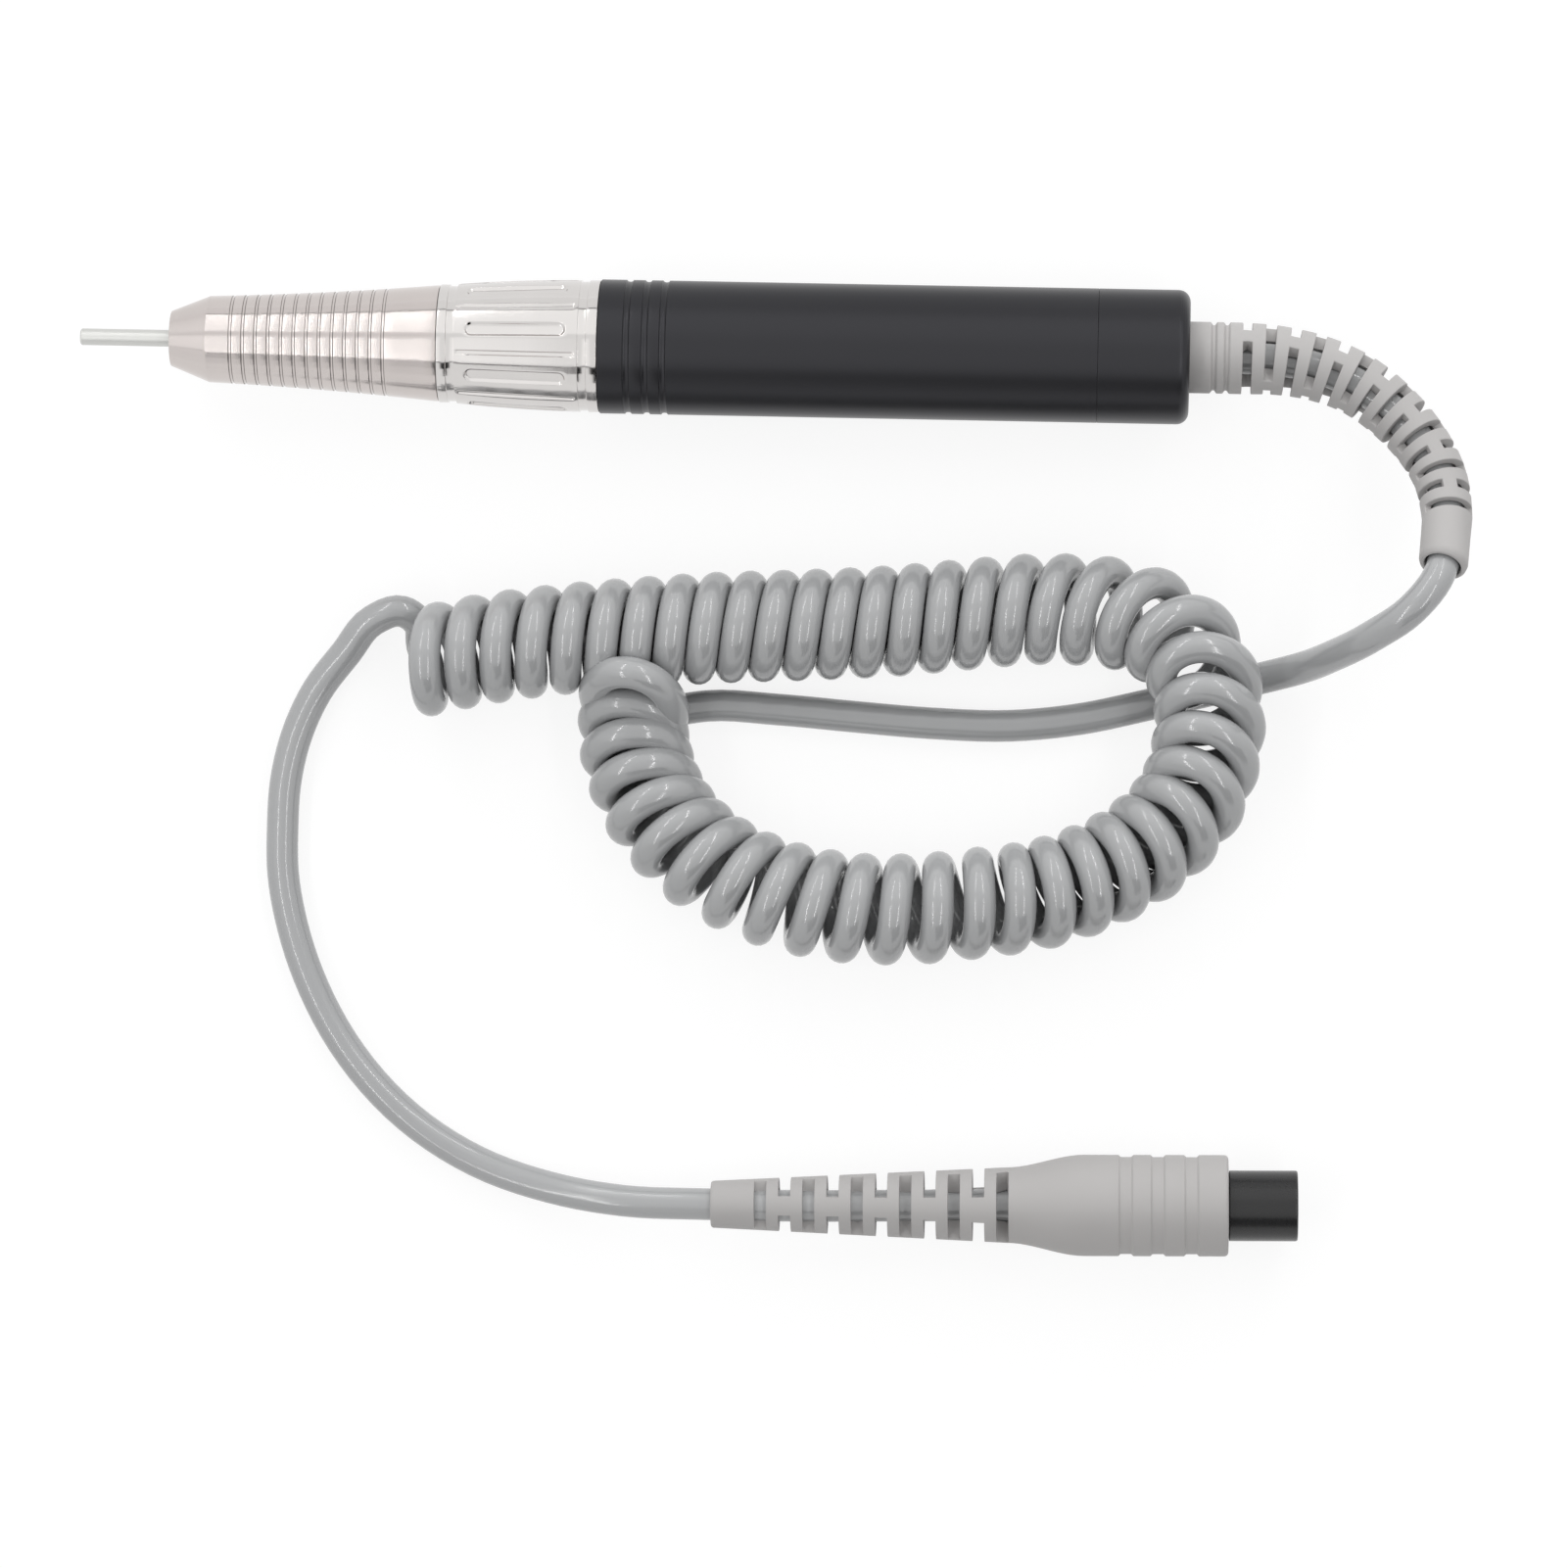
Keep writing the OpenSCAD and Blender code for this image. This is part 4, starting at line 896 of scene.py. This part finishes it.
class NAILDRILL_OT_stage(BuildStep, bpy.types.Operator):
    """Make the camera, the pale floor, the strip lights and the world"""

    bl_idname = "naildrill.stage"
    bl_label = "Stage"

    def execute(self, context):
        self.make_camera(context)
        self.make_floor(context)
        self.make_lights(context)
        self.make_world(context)
        context.scene.view_settings.view_transform = "Standard"
        return {"FINISHED"}

    def make_camera(self, context):
        camera = bpy.data.cameras.new("camera")
        camera.sensor_width = 36
        camera.lens = 170.5
        camera.clip_start = 0.01
        holder = bpy.data.objects.new("camera", camera)
        context.scene.collection.objects.link(holder)
        place = Vector((0.07055, -0.0597, 1.05))
        aim = Vector((0.02205, -0.0609, 0))
        roll = math.radians(1.225)
        ahead = (aim - place).normalized()
        up = Vector((-math.sin(roll), math.cos(roll), 0))
        right = ahead.cross(up).normalized()
        up = right.cross(ahead)
        axes = Matrix((right, up, -ahead)).transposed()
        holder.matrix_world = Matrix.Translation(place) @ axes.to_4x4()
        context.scene.camera = holder

    def flat_piece(self, context, name, corners, material):
        mesh = bpy.data.meshes.new(name)
        mesh.from_pydata(corners, [], [(0, 1, 2, 3)])
        mesh.materials.append(material)
        piece = bpy.data.objects.new(name, mesh)
        context.scene.collection.objects.link(piece)
        return piece

    def make_floor(self, context):
        half = 3.0
        corners = [(-half, -half, 0), (half, -half, 0), (half, half, 0), (-half, half, 0)]
        self.flat_piece(context, "floor", corners, self.floor_material())

    def floor_material(self):
        # Matt white paper that the camera sees as the white of the backdrop, with soft shadows
        material, tree = new_material("white_paper")
        seen = backdrop_rays(tree)
        paper = add(tree, "ShaderNodeBsdfDiffuse", {"Color": rgba(linear("e6e6e6"))})
        faint = add(tree, "ShaderNodeBsdfDiffuse", {"Color": rgba(linear("7c7c7c"))})
        lift = add(tree, "ShaderNodeEmission", {"Color": (1, 1, 1, 1), "Strength": 0.84})
        shown = add(
            tree, "ShaderNodeAddShader", {0: faint.outputs[0], 1: lift.outputs[0]},
        )
        mixed = add(
            tree, "ShaderNodeMixShader",
            {0: seen, 1: paper.outputs[0], 2: shown.outputs[0]},
        )
        add(tree, "ShaderNodeOutputMaterial", {"Surface": mixed.outputs[0]})
        return material

    def make_lights(self, context):
        """Broad panels overhead, narrow hot strips, and the black edges that metal mirrors."""
        light, height = settings().light, 1.0
        # Each as (middle along, middle across, height, width, length, radiance, tilt)
        lamps = [
            (0.1, 1.23, height, 2.2, 1.84, light.panel, 0),
            (-0.75, -0.315, height, 1.2, 0.95, light.panel, 0),
            (0.0, 1.5, 0.42, 2.2, 0.7, light.side, -80),
        ]
        # The strips hang in two rows a little under the panels
        for side in (-1, 1):
            for start, end in ((-0.83, 0.08), (0.36, 2.1)):
                lamps.append((
                    side * 0.55, (start + end) / 2, height - 0.04, 0.05, end - start, light.strip,
                    0,
                ))
        for x, y, z, width, length, radiance, tilt in lamps:
            lamp = bpy.data.lights.new("lamp", "AREA")
            lamp.shape = "RECTANGLE"
            lamp.size = width
            lamp.size_y = length
            # A lamp's power is four times its area for each unit of radiance
            lamp.energy = radiance * 4 * width * length
            holder = bpy.data.objects.new("lamp", lamp)
            context.scene.collection.objects.link(holder)
            holder.location = (x, y, z)
            holder.rotation_euler = (math.radians(tilt), 0, 0)
            # The metal mirrors the lamps overhead, and not the low one behind
            holder.visible_glossy = tilt == 0
        black, tree = new_material("black_cloth")
        cloth = add(tree, "ShaderNodeBsdfDiffuse", {"Color": (0.004, 0.004, 0.004, 1)})
        add(tree, "ShaderNodeOutputMaterial", {"Surface": cloth.outputs[0]})
        under = height - 0.01
        # Each as its two ends along, then its two long edges as (across, up)
        for left, right, near, far in (
            (-1.5, 1.5, (2.17, under), (2.4, under)),
            (-1.5, -0.15, (-0.8, under), (-0.86, under)),
            (-0.16, 1.3, (-0.84, under), (-1.15, 0.85)),
            (0.02, 1.3, (-1.15, 0.85), (-1.4, 0.5)),
        ):
            corners = [(left, *near), (left, *far), (right, *far), (right, *near)]
            bar = self.flat_piece(context, "black_bar", corners, black)
            bar.visible_camera = False

    def make_world(self, context):
        light = settings().light
        world = bpy.data.worlds.new("studio")
        world.use_nodes = True
        tree = world.node_tree
        tree.nodes.clear()
        level = add(
            tree, "ShaderNodeMapRange",
            {"Value": backdrop_rays(tree), "To Min": light.fill, "To Max": light.backdrop},
        )
        sky = add(
            tree, "ShaderNodeBackground",
            {"Color": (1, 1, 1, 1), "Strength": level.outputs["Result"]},
        )
        add(tree, "ShaderNodeOutputWorld", {"Surface": sky.outputs[0]})
        context.scene.world = world


class NAILDRILL_OT_bend_relief(BuildStep, bpy.types.Operator):
    """Mould the slotted bend relief along the cord's first bend"""

    bl_idname = "naildrill.bend_relief"
    bl_label = "Bend relief"

    def execute(self, context):
        slots_n, first, pitch, width, web_width, web_on_grid = 14, 8.0, 3.13, 1.3, 2.0, 12
        start_r, end_r, bore, in_cap, ferrule = 5.0, 3.5, 2.6, 5, 8.2
        groove_w, groove_wall, groove_d = 0.9, 0.3, 0.45
        first_turn, unwinding = 38, 25
        last = first + (slots_n - 1) * pitch + width / 2
        end = last + ferrule
        outline = [(-in_cap, start_r)]
        for groove_at in (2.9, 4.7):
            outline += groove(groove_at, start_r, groove_w, groove_wall, groove_d)
        outline += [(first, start_r), (last, end_r)]
        # The ferrule's rounded end, as (mm before the end, mm under the last web's radius)
        for before, under in ((0.9, 0.06), (0.35, 0.2), (0, 0.55)):
            outline.append((end - before, end_r - under))
        slots = cross_slots(slots_n, first, pitch, width, (0, -90))

        def twist(u):
            slot = min(max((u - first) / pitch, 0), slots_n - 1)
            return first_turn - unwinding * slot / (slots_n - 1)

        # Distances count from the cap's rear face, which is the route's second point
        steps = 24
        at = along(bezier_walk(relief_route + lead_route[:6], steps)[steps:])

        def place(u, radius, angle):
            centre, ahead = at(u)
            left = Vector((-ahead.y, ahead.x, 0)).normalized()
            up = ahead.cross(left)
            return centre + (left * math.sin(angle) + up * math.cos(angle)) * radius * MM

        maker = slotted_sleeve(outline, bore, slots, web_width, web_on_grid, twist, place)
        piece = new_piece("bend_relief", maker, "grey_boot_plastic", ["strain_relief"])
        soften(piece, settings().sizes.boot_edge)
        return {"FINISHED"}


class NAILDRILL_OT_plug(BuildStep, bpy.types.Operator):
    """Mould the plug's slotted boot and banded grip, and its round black nose"""

    bl_idname = "naildrill.plug"
    bl_label = "Plug"

    def execute(self, context):
        self.make_grip()
        self.make_nose()
        return {"FINISHED"}

    @staticmethod
    def place(u, radius, angle):
        left = Vector((-PLUG_AXIS.y, PLUG_AXIS.x, 0))
        return (
            PLUG_START + PLUG_AXIS * u * MM
            + (left * math.sin(angle) + Vector((0, 0, 1)) * math.cos(angle)) * radius * MM
        )

    def make_grip(self):
        grip_r, shoulder_l, steps, corner = 7.1, 10.8, 12, 0.6
        thin_r, thick_r, cord_bore, lip_l, lip_h = 3.3, 5.3, 2.35, 0.25, 0.2
        band_w, band_wall, band_d = 2.1, 0.3, 0.3
        slots_n, first, pitch, width, web_width, web_on_grid = 11, 7, 3.4, 1.7, 2.7, 18
        twist_per_slot = -0.6
        outline = [(0, thin_r - lip_h), (lip_l, thin_r)]
        for k in range(steps + 1):
            t = k / steps
            ease = t * t * (3 - 2 * t)
            outline.append((BOOT_L + shoulder_l * t, thick_r + (grip_r - thick_r) * ease))
        for band in (15.6, 20.1, 24.8):
            outline += groove(BOOT_L + band, grip_r, band_w, band_wall, band_d)
        outline += round_over(BOOT_L + GRIP_L, grip_r, corner, steps=4)
        maker = slotted_sleeve(
            outline, cord_bore, cross_slots(slots_n, first, pitch, width, (90, 0)), web_width,
            web_on_grid, lambda u: twist_per_slot * (u - first) / pitch, self.place,
        )
        piece = new_piece("plug_grip", maker, "grey_boot_plastic", ["plug_cover"])
        soften(piece, settings().sizes.boot_edge)

    def make_nose(self):
        nose_r, nose_l, wall, step, edge = 4.95, 9.6, 1, 0.4, 0.35
        in_grip, out_of_grip = 5.9, 9.7
        start, end = BOOT_L + GRIP_L - in_grip, BOOT_L + GRIP_L + out_of_grip
        outline = [
            (start, nose_r - wall), (start, nose_r - step), (end - nose_l, nose_r - step),
            (end - nose_l, nose_r), (end, nose_r), (end, nose_r - wall),
        ]
        maker = revolve(rounded(outline, edge, steps=4), self.place, around=128)
        even_normals(new_piece("plug_nose", maker, "black_plug_plastic", ["plug_shell"]))


class NAILDRILL_OT_cord(BuildStep, bpy.types.Operator):
    """Lay the cord from the cap through its curly part to the plug"""

    bl_idname = "naildrill.cord"
    bl_label = "Cord"

    def execute(self, context):
        sizes = settings().sizes
        points = relief_route + lead_route + coil_points() + tail_route
        points += [PLUG_START - PLUG_AXIS * MM, PLUG_START + PLUG_AXIS * CORD_IN_PLUG * MM]
        curve = bpy.data.curves.new("grey_cord", "CURVE")
        curve.dimensions = "3D"
        curve.bevel_depth = sizes.cord_diameter / 2
        curve.bevel_resolution = 8
        curve.resolution_u = 5
        curve.use_fill_caps = True
        spline = curve.splines.new("BEZIER")
        spline.bezier_points.add(len(points) - 1)
        for knot, point, (left, right) in zip(
            spline.bezier_points, points, bezier_handles(points)
        ):
            knot.co = point
            knot.handle_left_type = knot.handle_right_type = "FREE"
            knot.handle_left = left
            knot.handle_right = right
        curve.materials.append(finish_for("grey_cord_plastic"))
        cord = bpy.data.objects.new("grey_cord", curve)
        context.scene.collection.objects.link(cord)
        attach(cord, "handpiece")
        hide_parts("cord_lead", "curly_cord", "cord_tail")
        return {"FINISHED"}


class NAILDRILL_OT_nose(BuildStep, bpy.types.Operator):
    """Turn the nose with its front cone and fine grooves"""

    bl_idname = "naildrill.nose"
    bl_label = "Nose"

    def execute(self, context):
        sizes = settings().sizes
        face_r, shoulder_r, shoulder_l, rear_r, rear_step = 3.9, 6.08, 5.4, 8.2, 0.06
        hole_r, hole_l, race_r, thread_r, thread_l = 3.2, 6, 4.52, 6.9, 7.3
        grooves, first_groove, spacing, width, wall = 13, 8.6, 1.8, 0.48, 0.1
        depth, flare, steep = sizes.groove_depth / MM, 0.45, 0.4

        def outline_r(s):
            t = (s - shoulder_l) / (NOSE_L - shoulder_l)
            return shoulder_r + (rear_r - shoulder_r) * ((1 - flare) * t + flare * t * t)

        outline = [(0, hole_r), (0, face_r), (shoulder_l, shoulder_r)]
        for k in range(grooves):
            s = first_groove + spacing * k
            e = s + width
            outline += [
                (s, outline_r(s)), (s + wall, outline_r(s) - depth),
                (e - wall, outline_r(e) - depth), (e, outline_r(e)),
            ]
        # The plain flare behind the grooves
        outline += [(s, outline_r(s)) for s in (32.2, 33.5, 34.8, 36.2, 37.3)]
        outline += [
            (NOSE_L, rear_r - rear_step), (NOSE_L, thread_r), (NOSE_L - thread_l, thread_r),
            (NOSE_L - thread_l, race_r), (hole_l, race_r), (hole_l, hole_r),
        ]
        maker = revolve(rounded(outline, sizes.edge / MM), around=192)
        piece = new_piece("nose_shell", maker, "nose_aluminium", ["nose_housing"])
        # The groove walls get the darker finish, which is painted shade in the grooves
        piece.data.materials.append(groove_shade_aluminium())
        last_groove = first_groove + spacing * (grooves - 1) + width
        for face in piece.data.polygons:
            in_grooves = first_groove < behind_nose(face.center.x) < last_groove
            if in_grooves and abs(face.normal.x) > steep:
                face.material_index = 1
        even_normals(piece)
        return {"FINISHED"}


class NAILDRILL_OT_lock_ring(BuildStep, bpy.types.Operator):
    """Turn the twist-lock ring and mill its grip pockets and thin slots"""

    bl_idname = "naildrill.lock_ring"
    bl_label = "Lock ring"

    # Steps over a sector's width and length, and how near in mm two places are one
    ACROSS = 12
    ALONG = 18
    NEAR = 0.001

    def execute(self, context):
        sizes = settings().sizes
        pockets, first_pocket = 8, math.radians(11.2)
        front_r, rear_r, bore, flare_l = 8.3, 9.27, 6.94, 21.3
        gap, depth, groove_l, front_collar, rear_collar, forward = 0.1, 0.2, 1.2, 2.6, 2.8, 0.1
        front, rear = NOSE_L + gap, BARREL_S - gap
        start, end = NOSE_L + front_collar, BARREL_S - rear_collar
        middle = (start + end) / 2 - forward

        def outline_r(s):
            t = (BARREL_S - s) / flare_l
            return rear_r - (rear_r - front_r) * t * t

        half = math.pi / (2 * pockets)
        outline = [
            (end, outline_r(end)), (end, outline_r(end) - depth),
            (end + groove_l, outline_r(end + groove_l) - depth),
            (end + groove_l, outline_r(end + groove_l)), (rear, rear_r), (rear, bore),
            (front, bore), (front, front_r), (start - groove_l, front_r),
            (start - groove_l, front_r - depth), (start, front_r - depth),
            (start, outline_r(start)),
        ]
        # The turned part stops where the sectors with the pockets begin
        turned = [
            p for p in rounded(outline, sizes.edge / MM)
            if not start + self.NEAR < p[0] < end - self.NEAR
        ]
        maker = revolve(
            [outline[0]] + turned + [outline[-1]], around=2 * pockets * self.ACROSS,
            first_angle=first_pocket - half, closed=False,
        )
        wall = sizes.pocket_wall / MM
        # Each as (length, width, depth, wall)
        pocket, slot = (14.2, 2.0, 0.5, wall), (16.7, 0.8, 0.35, wall * 0.6)
        for i in range(pockets):
            angle = first_pocket + i * 4 * half
            self.cut(maker, angle, half, outline_r, (start, middle, end), *pocket)
            self.cut(maker, angle + 2 * half, half, outline_r, (start, middle, end), *slot)
        ring = new_piece("twist_ring", maker, "ring_aluminium", ["lock_ring"], "lock_ring")
        even_normals(ring)
        return {"FINISHED"}

    def cut(self, maker, angle, half, outline_r, places, length, width, depth, wall):
        """One sector of the ring, with a round-ended pocket in its middle."""
        start, middle, end = places
        straight = (length - width) / 2
        span = 5
        slope = (outline_r(middle + span) - outline_r(middle - span)) / (2 * span)
        over = [k / self.ACROSS for k in range(self.ACROSS)]
        back = [k / self.ALONG for k in range(self.ALONG)]
        # Both start at the front and go round: the sector's border as (angle, distance), and
        # the pocket's outline as (place on its middle line, angle of the way out from there)
        border = (
            [(half * (2 * t - 1), start) for t in over]
            + [(half, start + (end - start) * t) for t in back]
            + [(half * (1 - 2 * t), end) for t in over]
            + [(-half, end + (start - end) * t) for t in back]
        )
        pocket = (
            [(-straight, math.pi * (1 + t)) for t in over]
            + [(straight * (2 * t - 1), 0.0) for t in back]
            + [(straight, math.pi * t) for t in over]
            + [(straight * (1 - 2 * t), math.pi) for t in back]
        )

        def at_offset(offset, sink):
            """The pocket's outline moved out by offset, at a share of its depth."""
            loop = []
            for centre, turn in pocket:
                reach = width / 2 + offset
                side, s = reach * math.cos(turn), middle + centre + reach * math.sin(turn)
                top = math.sqrt(outline_r(s) ** 2 - side ** 2)
                floor = outline_r(middle) - depth + slope * (s - middle)
                height = top + (floor - top) * sink
                loop.append((s, math.hypot(height, side), math.atan2(side, height)))
            return loop

        lip = at_offset(0.07, 0)
        loops = []
        for t in (0, 0.35, 0.7):
            row = [
                (s0 + (s1 - s0) * t, a0 + (a1 - a0) * t)
                for (a0, s0), (s1, _, a1) in zip(border, lip)
            ]
            loops.append([(s, outline_r(s), a) for s, a in row])
        # Over the rounded lip, down the sloped wall, and over the floor to its middle, each as
        # (mm outside the pocket's edge, share of its depth)
        loops += [
            lip, at_offset(0.015, 0.04), at_offset(-0.03, 0.14),
            at_offset(0.04 - wall, 0.9), at_offset(-wall, 0.975), at_offset(-wall - 0.06, 1),
            at_offset(-width / 2, 1),
        ]
        join_loops(maker, [
            [maker.verts.new(on_axis(s, radius, angle + a)) for s, radius, a in loop]
            for loop in loops
        ])


class NAILDRILL_OT_barrel(BuildStep, bpy.types.Operator):
    """Turn the barrel with its three grooves, and the rear cap with its round corner"""

    bl_idname = "naildrill.barrel"
    bl_label = "Barrel and cap"

    def execute(self, context):
        sizes = settings().sizes
        wall, groove_w, groove_d, steps = 1.0, 0.95, 0.25, 8
        seam_s = behind_nose(barrel_high.x)
        bore = BARREL_R - wall
        outline = [(BARREL_S, bore), (BARREL_S, BARREL_R)]
        for groove_at in (3.5, 6.1, 8.6):
            for k in range(steps + 1):
                a = math.pi * k / steps
                outline.append((
                    BARREL_S + groove_at + groove_w / 2 * (1 - math.cos(a)),
                    BARREL_R - groove_d * math.sin(a),
                ))
        outline += [(seam_s, BARREL_R), (seam_s, bore)]
        maker = revolve(rounded(outline, sizes.edge / MM), around=192)
        barrel = new_piece("barrel_tube", maker, "black_anodised_aluminium", ["motor_barrel"])
        even_normals(barrel)

        gap, corner, spigot_l, spigot_bore, hole_r, wall_l = 0.02, 1.7, 5.98, 7.3, 5.05, 3
        cap_s, spigot_r, edge = seam_s + gap, bore - gap, 0.06
        outline = [(cap_s - spigot_l, spigot_r), (cap_s, spigot_r), (cap_s, BARREL_R)]
        outline += round_over(REAR_S, BARREL_R, corner, steps)
        outline += [
            (REAR_S, hole_r), (REAR_S - wall_l, hole_r), (REAR_S - wall_l, spigot_bore),
            (cap_s - spigot_l, spigot_bore),
        ]
        maker = revolve(rounded(outline, edge), around=192)
        cap = new_piece("barrel_cap", maker, "black_anodised_aluminium", ["rear_cap"])
        even_normals(cap)
        return {"FINISHED"}


class NAILDRILL_OT_bit(BuildStep, bpy.types.Operator):
    """Grind the bit's shank with its small end chamfers"""

    bl_idname = "naildrill.bit"
    bl_label = "Bit shank"

    def execute(self, context):
        low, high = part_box("bit_shank")
        start, end = behind_nose(low.x), behind_nose(high.x)
        radius, centre, chamfer, edge = 1.175, 0.01, 0.2, 0.08
        outline = [
            (start, centre), (start, radius - chamfer), (start + chamfer, radius),
            (end - chamfer, radius), (end, radius - chamfer), (end, centre),
        ]
        maker = revolve(rounded(outline, edge), around=64)
        piece = new_piece("steel_shank", maker, "ground_steel", ["bit_shank"], "bit")
        even_normals(piece)
        return {"FINISHED"}


class NAILDRILL_OT_collet_spring(BuildStep, bpy.types.Operator):
    """Wind the collet's spring, which is squeezed as the collet slides"""

    bl_idname = "naildrill.collet_spring"
    bl_label = "Collet spring"

    def execute(self, context):
        low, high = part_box("collet_spring")
        turns, per_turn, around, wire_r = 4, 32, 12, 0.35 * MM
        coil_r = (high.y - low.y) / 2 - wire_r
        maker, steps, loops = bmesh.new(), turns * per_turn, []
        for i in range(steps + 1):
            x = low.x + wire_r + (high.x - low.x - 2 * wire_r) * i / steps
            turn = math.tau * i / per_turn
            loops.append([maker.verts.new((
                x + wire_r * math.sin(t),
                (coil_r + wire_r * math.cos(t)) * math.cos(turn),
                AXIS_Z + (coil_r + wire_r * math.cos(t)) * math.sin(turn),
            )) for t in (math.tau * k / around for k in range(around))])
        join_loops(maker, loops)
        for loop in (loops[0], loops[-1]):
            maker.faces.new(loop)
        piece = new_piece(
            "collet_coil_spring", maker, "spring_steel", ["collet_spring"], "spindle",
        )
        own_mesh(piece)
        return {"FINISHED"}


class NAILDRILL_OT_inner_parts(BuildStep, bpy.types.Operator):
    """Give every part that keeps its frame mesh the finish of its real material"""

    bl_idname = "naildrill.inner_parts"
    bl_label = "Inner parts"

    def execute(self, context):
        for node in frame["nodes"].values():
            for holder in node.material_slots:
                slot = holder.material.name.split(".")[0]
                if slot in FINISH_OF_SLOT:
                    holder.material = finish_for(slot)
        return {"FINISHED"}


class NAILDRILL_PT_build(bpy.types.Panel):
    """Lists the building steps and the settings"""

    bl_idname = "NAILDRILL_PT_build"
    bl_label = "Nail drill"
    bl_space_type = "VIEW_3D"
    bl_region_type = "UI"
    bl_category = "Nail drill"

    def draw(self, context):
        for step in STEPS:
            self.layout.operator(step.bl_idname)
        for group in (settings().colours, settings().sizes, settings().light):
            box = self.layout.box()
            for name in group.__annotations__:
                box.prop(group, name)


STEPS = (
    NAILDRILL_OT_stage,
    NAILDRILL_OT_bend_relief,
    NAILDRILL_OT_plug,
    NAILDRILL_OT_cord,
    NAILDRILL_OT_nose,
    NAILDRILL_OT_lock_ring,
    NAILDRILL_OT_barrel,
    NAILDRILL_OT_bit,
    NAILDRILL_OT_collet_spring,
    NAILDRILL_OT_inner_parts,
)
CLASSES = (
    NailDrillColours, NailDrillSizes, NailDrillLight, NailDrillSettings,
) + STEPS + (NAILDRILL_PT_build,)


def register():
    for cls in CLASSES:
        bpy.utils.register_class(cls)
    bpy.types.Scene.nail_drill = PointerProperty(type=NailDrillSettings)


def unregister():
    del bpy.types.Scene.nail_drill
    for cls in reversed(CLASSES):
        bpy.utils.unregister_class(cls)


def main():
    register()
    for step in STEPS:
        name = step.bl_idname.split(".")[1]
        getattr(bpy.ops.naildrill, name)()


if __name__ == "__main__":
    main()
